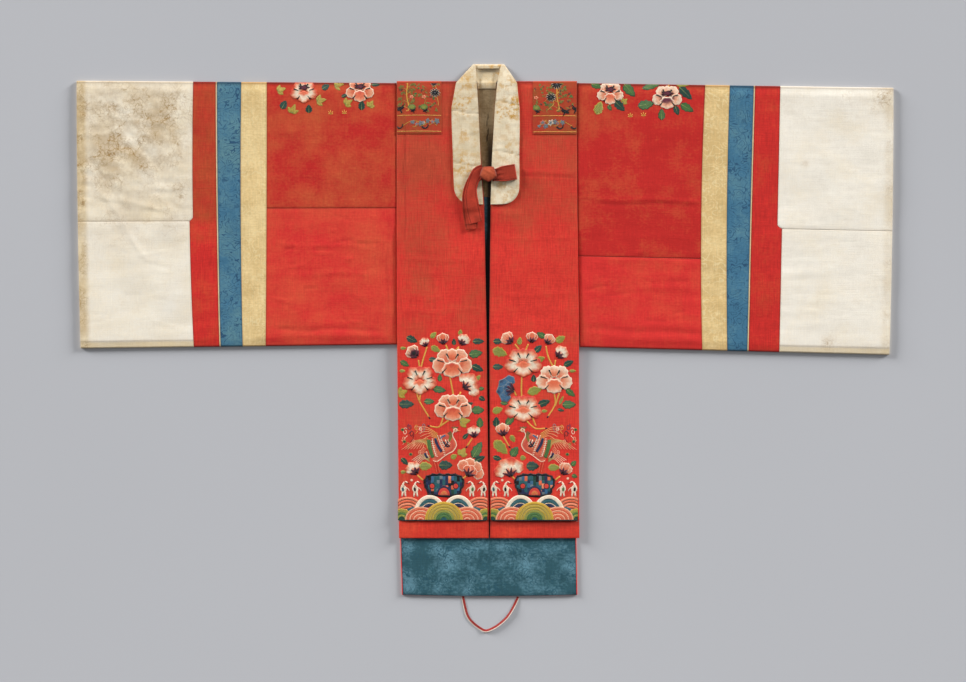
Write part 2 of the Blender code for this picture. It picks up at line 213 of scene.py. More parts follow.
def stained(recipe, place, stain):
    """How strongly old water marks show: soft clouds, and thin rims where water dried."""
    clouds = recipe.between(recipe.noise(place, stain.scale, 6.0, rough=0.70), stain.start, 0.60)
    bend = recipe.add("TexNoise", Vector=place, Scale=60.0, Detail=3.0, out=1)
    bent = recipe.vector("MULTIPLY_ADD", bend, CRACK_EDGES, place)
    cells = recipe.add("TexVoronoi", Vector=bent, Scale=120.0, feature="DISTANCE_TO_EDGE")
    rivers = recipe.math("ABSOLUTE", recipe.math("SUBTRACT", recipe.noise(bent, 44.0, 4.0), 0.5))
    cracks = recipe.math("ADD", recipe.between(cells, 0.0, 0.13, 0.45, 0.0),
                         recipe.between(rivers, 0.0, 0.03, 0.75, 0.0))
    cracks = recipe.math("MULTIPLY", cracks, recipe.between(recipe.noise(place, 24.0, 3.0), 0.36, 0.58))
    return recipe.math("MULTIPLY_ADD", cracks, stain.cracks, recipe.math("MULTIPLY", clouds, stain.clouds))


def silk(name, fresh, faded, dust_and_shade, stain=None, ribs=0.05, figure=None, rough=0.62, mottle=0.9):
    """A silk with its dye fresh and faded, the dark colour of dust and of painted shade in creases and shaded places,
    its stains and its woven figure.
    """
    recipe = Recipe(name)
    uv = recipe.add("UVMap", uv_map="cloth")
    place = recipe.add("TexCoord", out=3)
    fade, wet, dust_and_shade_share = recipe.parts("SeparateColor", recipe.add("Attribute", attribute_name="tone"))
    patches = recipe.noise(place, 17.0, 6.0, rough=0.66)
    grain = recipe.noise(uv, 1.0, 3.0, (150, 210, 1))
    slubs = recipe.noise(uv, 1.0, 3.0, (22, 420, 1))
    threads = recipe.noise(uv, 1.0, 2.0, (420, 26, 1))
    worn = recipe.math("MULTIPLY_ADD", recipe.math("SUBTRACT", patches, 0.5), mottle * 2.6, fade)
    worn = recipe.math("MULTIPLY_ADD", recipe.math("SUBTRACT", grain, 0.5), mottle, worn, clamp=True)
    colour = recipe.mix(worn, dye(*fresh), dye(*faded))
    if figure:
        strength = recipe.between(recipe.noise(place, 30.0, 3.0), 0.30, 0.62, 0.15, 1.0)
        strength = recipe.math("MULTIPLY", figures(recipe, uv, figure.size, figure.thin), strength)
        colour = recipe.mix(strength, colour, dye(*figure.colour))
    if stain:
        marks = recipe.math("MULTIPLY", stained(recipe, place, stain), wet, clamp=True)
        colour = recipe.mix(marks, colour, dye(*stain.colour))
    # painted shade, with some dust: the third channel of tone darkens the silk towards its darkest colour
    colour = recipe.mix(dust_and_shade_share, colour, dye(*dust_and_shade))
    for share, pattern in zip(RIB_SHARES, (slubs, threads, grain, patches)):
        light = recipe.math("MULTIPLY_ADD", pattern, ribs * share, 1.0 - ribs * share / 2)
        colour = recipe.mix(1.0, colour, recipe.add("CombineXYZ", light, light, light), "MULTIPLY")
    u, v, _ = recipe.parts("SeparateXYZ", uv)
    warp, weft = (recipe.math("SINE", recipe.math("MULTIPLY", way, WEAVE)) for way in (u, v))
    weave = recipe.math("MULTIPLY_ADD", recipe.math("MULTIPLY", warp, weft), 0.10, slubs)
    recipe.surface(Base_Color=colour, Roughness=rough, Sheen_Weight=0.06, Sheen_Roughness=0.5, Specular_IOR_Level=0.12,
                   Normal=recipe.add("Bump", Strength=0.35, Distance=0.0006, Height=weave))
    return recipe.material


# each silk's third colour is the dark of its painted shade and dust
SILKS = {
    "sleeve_faded": silk("red_silk_faded", (192, 40, 36), (190, 82, 48), (110, 34, 24)),
    "sleeve_bright": silk("red_silk_bright", (214, 50, 46), (206, 78, 52), (124, 34, 26)),
    "front": silk("red_silk_front", (214, 55, 45), (180, 68, 45), (112, 36, 26), ribs=0.10, mottle=1.2),
    "hem": silk("red_silk_hem", (207, 55, 41), (202, 72, 46), (118, 36, 26), ribs=0.08),
    "band": silk("red_silk_band", (206, 45, 40), (178, 70, 40), (124, 34, 26), ribs=0.09),
    "blue": silk("blue_damask", (66, 114, 142), (92, 132, 142), (40, 66, 84),
                 figure=Figure(0.026, 0.11, (44, 80, 110)), rough=0.5, mottle=1.1),
    "yellow": silk("yellow_damask", (216, 184, 126), (230, 204, 150), (176, 136, 84),
                   figure=Figure(0.030, 0.14, (228, 204, 152)), rough=0.5, mottle=1.1),
    "piping": silk("cream_piping", (226, 204, 156), (232, 216, 178), (170, 136, 96), ribs=0.03),
    "cuff": silk("white_silk", (242, 235, 221), (226, 207, 170), (138, 112, 80),
                 Stain((164, 132, 84), 16.0, 0.34, 0.60, 0.52), ribs=0.02, mottle=0.35),
    "collar": silk("collar_silk", (232, 218, 190), (206, 188, 154), (112, 84, 52),
                   Stain((200, 152, 76), 64.0, 0.45, 0.30, 0.95), ribs=0.03, mottle=0.8),
    # its near-black third colour is for the painted shadow of the fronts on the lining, seen in the slit
    "blue_lining": silk("blue_lining", (48, 86, 96), (90, 130, 144), (12, 16, 18), ribs=0.06,
                        figure=Figure(0.026, 0.13, (44, 84, 98)), mottle=1.6),
    "undyed_lining": silk("undyed_lining", (114, 86, 50), (150, 128, 96), (30, 20, 12), ribs=0.05),
    "patch": silk("patch_silk", (178, 62, 40), (146, 80, 42), (116, 54, 32), mottle=1.1),
    "tie": silk("tie_silk", (148, 50, 33), (184, 60, 42), (66, 20, 14), rough=0.5, mottle=0.5),
    "knot": silk("knot_silk", (160, 60, 38), (180, 84, 54), (84, 28, 18), rough=0.5),
}
print(len(SILKS), "silks")

# %% [markdown]
# ## How cloth lies
# Cloth that is pressed flat is never quite flat. It swells a little between its folds, old folds stand up as soft
# ridges or sink as valleys, and seams pull it down. These functions give that height at any place. Each crease is
# a row of a table, so it can be moved or made sharper without touching the mesh.

# %% Height from waves and creases
BACK_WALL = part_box("back")[1][2]
FRONT_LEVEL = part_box("front_left")[1][2]
WALL = FRONT_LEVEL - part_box("front_left")[0][2]
SLEEVE_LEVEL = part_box("sleeve_left_upper")[1][2]
LINING_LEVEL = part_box("back_lining")[1][2]
LINING_WALL = LINING_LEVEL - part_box("back_lining")[0][2]
COLLAR_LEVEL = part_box("collar_left")[1][2]
SHOULDER_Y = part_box("front_left")[1][1]


def smooth_step(value, start, end):
    share = np.clip((np.asarray(value, float) - start) / (end - start), 0.0, 1.0)
    return share * share * (3 - 2 * share)


def bell(distance, width):
    """1 at no distance, falling off softly within about twice the width."""
    return np.exp(-((distance / width) ** 2))


def so_far(steps):
    """The length of a path up to each of its points, from the lengths of its steps."""
    return np.concatenate([[0], np.cumsum(steps)])


def waves(x, y, seed, size, stretch=(1.0, 1.0), count=9):
    """Seeded soft hills about size apart, mostly between -1 and 1, longer by stretch along X or Y."""
    draw = np.random.default_rng(seed)
    total = np.zeros_like(x)
    for _ in range(count):
        angle, phase = draw.uniform(0, 2 * math.pi, 2)
        pace = 2 * math.pi / size * draw.uniform(0.6, 1.6)
        total += np.sin(pace * (x * math.cos(angle) / stretch[0] + y * math.sin(angle) / stretch[1]) + phase)
    return total / math.sqrt(count * 1.6)


CREASE_BEND = 0.002  # how far a crease strays from a straight line


def creased(x, y, creases, narrow=1.0):
    """The height that creases add. Each is (x0, y0, x1, y1, width, rise): a soft ridge, or a valley if it sinks."""
    total = np.zeros_like(x)
    for x0, y0, x1, y1, width, rise in creases:
        run_x, run_y = x1 - x0, y1 - y0
        length = math.hypot(run_x, run_y)
        along = ((x - x0) * run_x + (y - y0) * run_y) / length**2
        aside = ((x - x0) * run_y - (y - y0) * run_x) / length
        aside = aside + CREASE_BEND * np.sin(along * length * 40 + x0 * 90)
        ends = smooth_step(along, -0.04, 0.14) * (1 - smooth_step(along, 0.86, 1.04))
        total += rise * bell(aside, width * narrow) * ends
    return total


def small_creases(seed, count, x_range, y_range, length=0.045, rise=0.00035):
    """Seeded short creases, most of them level, as old silk has where it was folded away."""
    draw = np.random.default_rng(seed)
    made = []
    for _ in range(count):
        x, y, turn = draw.uniform(*x_range), draw.uniform(*y_range), draw.normal(0, 0.16)
        half = length * draw.uniform(0.4, 1.2) / 2
        dx, dy = half * math.cos(turn), half * math.sin(turn)
        size = draw.uniform(0.4, 1.0) * draw.choice([-1, 1])
        made.append((x - dx, y - dy, x + dx, y + dy, 0.0030, rise * size))
    return made


def spots(x, y, table):
    """How strongly a table of round soft spots (x, y, radius, strength) covers each place."""
    total = np.zeros_like(x)
    for spot_x, spot_y, radius, strength in table:
        total += strength * np.exp(-(((x - spot_x) ** 2 + (y - spot_y) ** 2) / radius**2))
    return total


print("front level", round(FRONT_LEVEL * 1000, 2), "mm, sleeve level", round(SLEEVE_LEVEL * 1000, 2), "mm")

# %% [markdown]
# ## One way to make every cloth
# By hand this is: add a grid, shape it, add a Solidify modifier for the wall and a small bevel for its edges. The
# grid's points are moved by a rule instead of a brush, so seams meet to a third of a millimetre. The rule also
# gives each point its place on the cut cloth, which becomes the UV map that the weave follows, and its tone.

# %% Grid, wall, edges
EDGE_ROUND = 0.0004  # of a cloth's wall
SHARP_EDGE, SMOOTH_BELOW = math.radians(62), math.radians(48)
MERGE = 1e-6


def select_only(obj):
    deselect()
    obj.select_set(True)
    bpy.context.view_layer.objects.active = obj


def apply_modifiers(obj):
    select_only(obj)
    for modifier in list(obj.modifiers):
        bpy.ops.object.modifier_apply(modifier=modifier.name)


def paint(mesh, name, values):
    """Stores three channels at each point of a mesh as a colour attribute."""
    layer = mesh.color_attributes.new(name, "FLOAT_COLOR", "POINT")
    data = np.ones((len(mesh.vertices), 4), np.float32)
    data[:, :3] = values
    layer.data.foreach_set("color", data.ravel())


def cloth(name, columns, rows, shape, wall, finish, closed=False, soft_edge=EDGE_ROUND):
    """A wall of cloth from shape(column, row), which gives points (n, 3), UV (n, 2) in metres and tone (n, 3)."""
    deselect()
    bpy.ops.mesh.primitive_grid_add(x_subdivisions=columns, y_subdivisions=rows, size=1.0)
    obj = bpy.context.object
    obj.name = obj.data.name = "cloth_" + name
    mesh = obj.data
    grid = np.empty(len(mesh.vertices) * 3)
    mesh.vertices.foreach_get("co", grid)
    grid = grid.reshape(-1, 3)
    column = np.rint((grid[:, 0] + 0.5) * columns).astype(int)
    row = np.rint((grid[:, 1] + 0.5) * rows).astype(int)
    points, uv, tone = shape(column, row)
    mesh.vertices.foreach_set("co", np.asarray(points, np.float32).ravel())
    corners = np.empty(len(mesh.loops), np.int32)
    mesh.loops.foreach_get("vertex_index", corners)
    mesh.uv_layers[0].name = "cloth"
    mesh.uv_layers[0].data.foreach_set("uv", np.asarray(uv, np.float32)[corners].ravel())
    paint(mesh, "tone", tone)
    mesh.update()
    select_only(obj)
    bpy.ops.object.mode_set(mode="EDIT")
    bpy.ops.mesh.select_all(action="SELECT")
    if closed:
        bpy.ops.mesh.remove_doubles(threshold=MERGE)
    bpy.ops.object.mode_set(mode="OBJECT")
    highest = max(mesh.polygons, key=lambda face: face.center.z * (1 if abs(face.normal.z) > 0.7 else 0))
    if highest.normal.z < 0:
        mesh.flip_normals()
    solid = obj.modifiers.new("wall", "SOLIDIFY")
    solid.thickness = wall
    solid.offset = -1
    bevel = obj.modifiers.new("edge", "BEVEL")
    bevel.width = soft_edge
    bevel.segments = 2
    bevel.limit_method = "ANGLE"
    bevel.angle_limit = SHARP_EDGE
    apply_modifiers(obj)
    bpy.ops.object.shade_smooth_by_angle(angle=SMOOTH_BELOW)
    mesh.materials.append(SILKS[finish] if isinstance(finish, str) else finish)
    return obj


def stand_for(obj, node):
    """The piece rides on the robe, is shown in place of its solid, and says how many triangles it has."""
    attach(obj, "root")
    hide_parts(node)
    obj.data.calc_loop_triangles()
    print(f"{obj.name}: {len(obj.data.loop_triangles)} triangles")


def tones(x, fade=0.0, stain=0.0, dust_and_shade=0.0):
    channels = [np.broadcast_to(np.clip(value, 0, 1), x.shape) for value in (fade, stain, dust_and_shade)]
    return np.stack(channels, axis=1)


def laid(x, y, z, u, v, fade, stain, dust_and_shade):
    """What a cloth's rule gives for its grid: points, places on the cut cloth, and tone."""
    return np.stack([x, y, z], axis=1), np.stack([u, v], axis=1), tones(x, fade, stain, dust_and_shade)


print("cloth ready")

# %% [markdown]
# ## The sleeves
# A sleeve is a tube: a red part of two lengths, a yellow band, a blue band, a fine cream piping, a red band and a
# white cuff, also of two lengths. Each is folded at the shoulder and sewn below, so its section is a flattened
# loop. The lines between them lean and bow a little, and a table gives each one at the fold, half way down and at
# the lower edge. Left and right are the wearer's.

# %% Lines and creases of both sleeves
HALF_SPAN = 0.8976
SEAM = 0.0003
Sleeve = namedtuple("Sleeve", "sign fold_in fold_out lower_in lower_out body_seam cuff_seam step lines creases seed")
SLEEVES = {
    "left": Sleeve(
        sign=1, fold_in=0.5440, fold_out=0.5335, lower_in=-0.0363, lower_out=-0.0539,
        body_seam=0.655, cuff_seam=0.537, step=0.0100, seed=11,
        lines={  # top, middle and bottom
            "armhole": (0.2024, 0.2035, 0.2083),
            "yellow": (0.4840, 0.4752, 0.4774),
            "blue": (0.5379, 0.5313, 0.5324),
            "piping": (0.5907, 0.5830, 0.5764),
            "red": (0.5935, 0.5858, 0.5792),
            "cuff": (0.6590, 0.6530, 0.6468),
            "end": (HALF_SPAN, 0.8954, 0.8888),
        },
        creases=[
            (0.232, 0.288, 0.478, 0.284, 0.0045, 0.00079),
            (0.232, 0.280, 0.470, 0.277, 0.0050, -0.00043),
            (0.215, 0.006, 0.478, -0.004, 0.0060, -0.00058),
            (0.215, -0.012, 0.478, -0.019, 0.0070, 0.00058),
            (0.2245, 0.540, 0.2235, 0.290, 0.0026, 0.00058),
            (0.206, 0.300, 0.232, 0.302, 0.0022, -0.00047),
            (0.206, 0.311, 0.230, 0.314, 0.0022, -0.00047),
            (0.206, 0.289, 0.234, 0.286, 0.0022, -0.00043),
            (0.660, 0.128, 0.890, 0.140, 0.0120, 0.00036),
            (0.700, 0.420, 0.870, 0.300, 0.0140, 0.00032),
            (0.235, 0.160, 0.470, 0.150, 0.0060, 0.00043),
            (0.235, 0.090, 0.460, 0.096, 0.0050, 0.0004),
        ],
    ),
    "right": Sleeve(
        sign=-1, fold_in=0.5440, fold_out=0.5489, lower_in=-0.0308, lower_out=-0.0396,
        body_seam=0.478, cuff_seam=0.526, step=0.0075, seed=23,
        lines={  # top, middle and bottom
            "armhole": (0.1943, 0.1943, 0.1936),
            "yellow": (0.4796, 0.4800, 0.4818),
            "blue": (0.5357, 0.5368, 0.5324),
            "piping": (0.5890, 0.5868, 0.5808),
            "red": (0.5918, 0.5896, 0.5836),
            "cuff": (0.6488, 0.6495, 0.6400),
            "end": (HALF_SPAN, 0.8950, 0.8888),
        },
        creases=[
            (-0.2035, 0.262, -0.2055, -0.026, 0.0030, 0.00065),
            (-0.2120, 0.262, -0.2150, -0.026, 0.0030, -0.0005),
            (-0.462, 0.004, -0.222, 0.003, 0.0050, -0.00058),
            (-0.462, -0.010, -0.222, -0.010, 0.0060, 0.00047),
            (-0.860, 0.330, -0.740, 0.150, 0.0060, 0.00058),
            (-0.885, 0.470, -0.800, 0.300, 0.0070, 0.0005),
            (-0.840, 0.520, -0.700, 0.330, 0.0060, -0.0005),
            (-0.880, 0.400, -0.790, 0.260, 0.0050, -0.00047),
            (-0.800, 0.500, -0.720, 0.400, 0.0060, 0.0005),
            (-0.870, 0.300, -0.700, 0.262, 0.0050, 0.00047),
            (-0.460, 0.440, -0.300, 0.430, 0.0120, 0.00032),
            (-0.460, 0.120, -0.240, 0.128, 0.0060, 0.0004),
            (-0.460, 0.190, -0.250, 0.184, 0.0050, 0.00036),
        ],
    ),
}
for side, sleeve in SLEEVES.items():
    red_part = sorted((sleeve.sign * 0.23, sleeve.sign * 0.46))
    white_part = sorted((sleeve.sign * 0.68, sleeve.sign * 0.87))
    sleeve.creases.extend(small_creases(sleeve.seed, 26, red_part, (-0.02, 0.26), 0.05, 0.00060))
    sleeve.creases.extend(small_creases(sleeve.seed + 1, 14, white_part, (-0.03, 0.50), 0.06, 0.00030))
    sleeve.creases.extend(small_creases(sleeve.seed + 2, 10, red_part, (0.26, 0.44), 0.05, 0.00022))
PITCH = 0.0036  # the grid's spacing on the front
BACK_PITCH = 0.0220  # and on the back, which lies on the floor


def line_at(line, share):
    top, middle, bottom = line
    return top * (1 - share) * (1 - 2 * share) + middle * 4 * share * (1 - share) + bottom * share * (2 * share - 1)


def line_distance(sleeve, line, share):
    above = (sleeve.cuff_seam - share) * (sleeve.fold_in - sleeve.lower_in)
    inner = sleeve.step * smooth_step(above, 0.0, 0.009) ** 0.5 if line == "cuff" else 0.0
    return line_at(sleeve.lines[line], share) - inner


def folds_at(sleeve, distance):
    """Where the upper fold and the lower edge of a sleeve lie at a distance from the middle."""
    armhole = sleeve.lines["armhole"][0]
    along = (distance - armhole) / (HALF_SPAN - armhole)
    return (sleeve.fold_in + (sleeve.fold_out - sleeve.fold_in) * along,
            sleeve.lower_in + (sleeve.lower_out - sleeve.lower_in) * along)


def sleeve_relief(side, x, y, share):
    """How much a sleeve's front swells above its pressed level."""
    sleeve = SLEEVES[side]
    low = smooth_step(share, sleeve.body_seam - 0.1, sleeve.body_seam + 0.1)
    height = 0.0012 + 0.0005 * waves(x, y, sleeve.seed, 0.16)
    height += (0.00007 + 0.00009 * low) * waves(x, y, sleeve.seed + 1, 0.045, (4.5, 0.8), 14)
    height += 0.00006 * waves(x, y, sleeve.seed + 2, 0.022, (3.0, 0.8), 16)
    cuff = smooth_step(abs(x), 0.62, 0.68)
    rumple = (1 - smooth_step(share, 0.45, 0.6)) if side == "right" else 0.15
    height += cuff * rumple * 0.00030 * waves(x, y, sleeve.seed + 3, 0.030, (1.0, 1.0), 18)
    armhole = abs(x) - sleeve.lines["armhole"][0]
    tuck, part = (0.0115, 1 - smooth_step(share, 0.55, 0.60)) if side == "left" else (0.0090, low)
    height -= 0.0005 * part * bell(armhole - tuck, 0.0026)
    return height + (0.7 if side == "left" else 1.0) * creased(x, y, sleeve.creases)


print(sum(len(sleeve.creases) for sleeve in SLEEVES.values()), "creases")

# %% The section of a pressed sleeve
FOLD = SLEEVE_LEVEL / 2
CUFF_SPOTS = {
    "right": [(-0.792, 0.430, 0.075, 1.0), (-0.830, 0.360, 0.050, 0.8), (-0.704, 0.485, 0.060, 0.65),
              (-0.825, 0.500, 0.055, 0.7), (-0.668, 0.400, 0.030, 0.8), (-0.668, 0.300, 0.026, 0.7),
              (-0.668, 0.495, 0.026, 0.9), (-0.740, 0.380, 0.060, 0.5), (-0.800, 0.255, 0.060, 0.35),
              (-0.700, 0.250, 0.050, 0.3)],
    "left": [(0.870, 0.515, 0.030, 0.7), (0.704, 0.364, 0.007, 0.7), (0.755, -0.030, 0.014, 0.9),
             (0.800, 0.520, 0.024, 0.35), (0.680, 0.490, 0.030, 0.2)],
}
FADING = {"right": 0.42, "left": 0.08}


def fold_round(share, direction, start):
    """The points round a pressed fold, as (share, past, z, is front)."""
    turn = np.radians(np.linspace(start, -start, 9)[1:-1])
    past = direction * FOLD * np.cos(turn)
    return [(share, p, z, 0) for p, z in zip(past, FOLD * (1 + np.sin(turn)))]


def section(sleeve, piece, seam):
    gap = SEAM / 2 / (sleeve.fold_in - sleeve.lower_in)
    seams = [s + d for s in (sleeve.body_seam, sleeve.cuff_seam) for d in (-gap, gap)]
    deep = sleeve.fold_in - sleeve.lower_in
    front = np.unique(np.concatenate([np.linspace(0, 1, round(deep / PITCH) + 1), seams]))
    back = np.unique(np.concatenate([np.linspace(0, 1, round(deep / BACK_PITCH) + 1), seams]))
    if piece == "upper":
        front, back = front[front < seam], back[back < seam]
    if piece == "lower":
        front, back = front[front > seam], back[back > seam]
    up = [(share, 0.0, SLEEVE_LEVEL, 1) for share in front[::-1]]
    down = [(share, 0.0, 0.0, 0) for share in back]
    top, bottom = fold_round(0.0, 1, 90), fold_round(1.0, -1, -90)
    if piece == "upper":
        return up + top + down
    if piece == "lower":
        return down + bottom + up
    return up + top + down + bottom + up[:1]


def sleeve_piece(node, side, start, end, finish, piece="whole", seam=None):
    sleeve = SLEEVES[side]
    points = np.array(section(sleeve, piece, seam))
    share_of, past_of, level_of, front_of = points.T
    wide = abs(line_at(sleeve.lines[end], 0.5) - line_at(sleeve.lines[start], 0.5))
    columns = max(2, round(wide / PITCH))

    def shape(column, row):
        share, past, level, on_front = (values[row] for values in (share_of, past_of, level_of, front_of))
        near = line_distance(sleeve, start, share) + SEAM / 2
        far = line_distance(sleeve, end, share) - SEAM / 2
        across = column / columns if sleeve.sign > 0 else 1 - column / columns
        distance = near + (far - near) * across
        fold, lower = folds_at(sleeve, distance)
        y = np.clip(fold + (lower - fold) * share, lower + FOLD, fold - FOLD)
        x = sleeve.sign * distance
        free = smooth_step(fold - y, FOLD, 0.022) * smooth_step(y - lower, FOLD, 0.020)
        free *= smooth_step(distance - near, -0.001, 0.014) if start == "armhole" else 1.0
        height = sleeve_relief(side, x, y, share) * free
        edge = np.minimum(distance - near, far - distance)
        height -= 0.0004 * bell(edge, 0.0025) * free
        if piece != "whole":
            height -= 0.0003 * bell((share - seam) * (fold - lower), 0.0030) * free
        height = np.maximum(height, -0.0003) * on_front
        arc = so_far(np.abs(np.diff(share_of)) * (sleeve.fold_in - sleeve.lower_in) + 0.0004)
        fade = FADING[side] + 0.2 * np.exp(-(fold - y) / 0.05) + 0.22 * waves(x, y, sleeve.seed + 5, 0.24)
        # painted shade, with some dust: darker in crease valleys and along the piece's edges
        dust_and_shade = 3.2e2 * np.maximum(-creased(x, y, sleeve.creases, 0.8), 0) + 0.5 * bell(edge, 0.0012)
        if piece != "whole":
            # painted shade in the seam between the two lengths
            dust_and_shade = dust_and_shade + 0.75 * bell((share - seam) * (fold - lower), 0.0016)
        # painted shade over the upper fold, where the cloth rounds away, and along the lower edge
        dust_and_shade = dust_and_shade * on_front + 0.95 * np.exp(-np.maximum(fold - y - FOLD, 0) / 0.0022)
        dust_and_shade = dust_and_shade + 0.5 * np.exp(-np.maximum(y - lower - FOLD, 0) / 0.002)
        stain = 0.0
        if "cuff" in node:
            hem = (1 - smooth_step(far - distance, 0.010, 0.026)) * (0.75 if side == "right" else 0.25)
            stain = spots(x, y, CUFF_SPOTS[side]) + hem + 0.10
            # a cuff keeps less of the painted shade, and gets a thin dark line 14 mm above its lower edge
            dust_and_shade = 0.4 * dust_and_shade + 0.5 * bell(y - lower - 0.0140, 0.0014) * on_front
            fade = (0.22 if side == "right" else 0.05) + 0.1 * waves(x, y, sleeve.seed + 5, 0.12) + 0.85 * hem
            fade = fade + 0.25 * (piece == "upper") * (side == "right") + 0.7 * (y < lower + 0.0125)
        if "red_band" in node:
            fade = 0.12 * waves(x, y, sleeve.seed + 5, 0.1)
            fade = fade + (0.12 + 0.78 * smooth_step(y, 0.225, 0.255) if side == "right" else 0.0)
            dust_and_shade = dust_and_shade + (0.10 if side == "left" else 0.0)
        return laid(x, y + past, level + height, x, arc[row], fade, stain, dust_and_shade)

    obj = cloth(node, columns, len(points) - 1, shape, WALL, finish, closed=piece == "whole")
    stand_for(obj, node)


for side, sleeve in SLEEVES.items():
    for part, bright in (("upper", "sleeve_faded"), ("lower", "sleeve_bright")):
        sleeve_piece(f"sleeve_{side}_{part}", side, "armhole", "yellow", bright, part, sleeve.body_seam)
        sleeve_piece(f"cuff_{side}_{part}", side, "cuff", "end", "cuff", part, sleeve.cuff_seam)
    sleeve_piece(f"yellow_band_{side}", side, "yellow", "blue", "yellow")
    sleeve_piece(f"blue_band_{side}", side, "blue", "piping", "blue")
    sleeve_piece(f"piping_{side}", side, "piping", "red", "piping")
    sleeve_piece(f"red_band_{side}", side, "red", "cuff", "band")

# %% [markdown]
# ## The body
# The back is one long panel with a blue lining, and an undyed one behind the neck. The two fronts lie on it and
# meet down the middle, where the lining shows through the slit, darkened there with painted shadow. At the shoulder
# each front rolls over the fold to the back. The fronts' lower ends are hems of their own, sewn on across the figured
# silk.

# %% Edges of the body
BodyRow = namedtuple("BodyRow", "y right_side right_opening left_opening left_side")
BODY_ROWS = [
    BodyRow(0.5440, -0.1941, -0.0190, 0.0280, 0.2021),
    BodyRow(0.4750, -0.1943, -0.0155, 0.0230, 0.2020),
    BodyRow(0.2770, -0.1943, -0.0018, 0.0123, 0.2029),
    BodyRow(0.0120, -0.1935, 0.0031, 0.0097, 0.2064),
    BodyRow(-0.4185, -0.1893, 0.0083, 0.0112, 0.2072),
    BodyRow(-0.4560, -0.1890, 0.0086, 0.0113, 0.2075),
]
BackRow = namedtuple("BackRow", "y right_side left_side")
BACK_ROWS = [
    BackRow(0.5440, -0.1940, 0.2020),
    BackRow(0.0120, -0.1905, 0.2020),
    BackRow(-0.4560, -0.1868, 0.2010),
    BackRow(-0.5841, -0.1826, 0.2033),
]
BODY_CREASES = {
    "right": [
        (-0.1770, 0.545, -0.1750, 0.190, 0.0028, -0.0010),
        (-0.1700, 0.545, -0.1690, 0.190, 0.0050, 0.0005),
        (-0.190, 0.040, -0.010, 0.047, 0.0050, 0.00036),
        (-0.190, 0.160, -0.010, 0.150, 0.0050, 0.00032),
        (-0.190, -0.120, 0.000, -0.128, 0.0050, 0.00029),
        (-0.190, -0.260, 0.000, -0.254, 0.0050, 0.00029),
    ],
    "left": [
        (0.072, 0.3385, 0.202, 0.3395, 0.0028, -0.0005),
        (0.072, 0.3470, 0.202, 0.3475, 0.0045, 0.00036),
        (0.020, 0.205, 0.200, 0.199, 0.0050, 0.00032),
        (0.020, 0.076, 0.200, 0.082, 0.0050, 0.00032),
        (0.020, -0.150, 0.200, -0.146, 0.0050, 0.00029),
        (0.020, -0.290, 0.200, -0.296, 0.0050, 0.00029),
    ],
}


for side, x_range in (("right", (-0.17, -0.02)), ("left", (0.03, 0.18))):
    BODY_CREASES[side].extend(small_creases(len(side), 26, x_range, (-0.41, 0.26), 0.05, 0.00030))


def row_value(rows, y, column):
    ordered = sorted(rows, key=lambda row: row.y)
    return np.interp(y, [row.y for row in ordered], [getattr(row, column) for row in ordered])


def front_relief(side, x, y):
    """How much a front swells above the level at which it is pressed on the lining."""
    seed = 31 if side == "right" else 37
    supple = smooth_step(abs(y + 0.390), 0.030, 0.060)  # the band of waves is stitched all over, so it stays flat
    height = 0.0005 * waves(x, y, seed, 0.17)
    height += (0.00006 + 0.00008 * smooth_step(-y, -0.3, 0.0)) * waves(x, y, seed + 1, 0.045, (4.5, 0.8), 14)
    opening = row_value(BODY_ROWS, y, f"{side}_opening")
    away = abs(x - opening)
    puckers = np.exp(-away / 0.018) * (1 - smooth_step(y, 0.18, 0.24))
    height += 0.00026 * puckers * waves(x, y, seed + 2, 0.016, (3.0, 0.7), 14)
    armhole = abs(x - row_value(BODY_ROWS, y, f"{side}_side"))
    lifted = np.exp(-armhole / 0.022) * (1 - smooth_step(y, 0.19, 0.24)) * smooth_step(y, -0.12, -0.04)
    height += 0.0012 * lifted
    height = 0.0009 + supple * (height + creased(x, y, BODY_CREASES[side]))
    collar = smooth_step(y, 0.255, 0.272) * (1 - smooth_step(abs(x), 0.0775, 0.090))  # its weight presses the front
    return np.maximum(height * (1 - 0.85 * collar), -0.0002)


def front_height(side, x, y):
    """The level of a front's upper side at any place on it."""
    rounding = smooth_step(SHOULDER_Y + 0.0006 - y, 0.0, 0.014)
    return FRONT_LEVEL + front_relief(side, x, y) * rounding


print("fronts", round(BODY_ROWS[0].left_side - BODY_ROWS[0].right_side, 4), "m across at the shoulder")

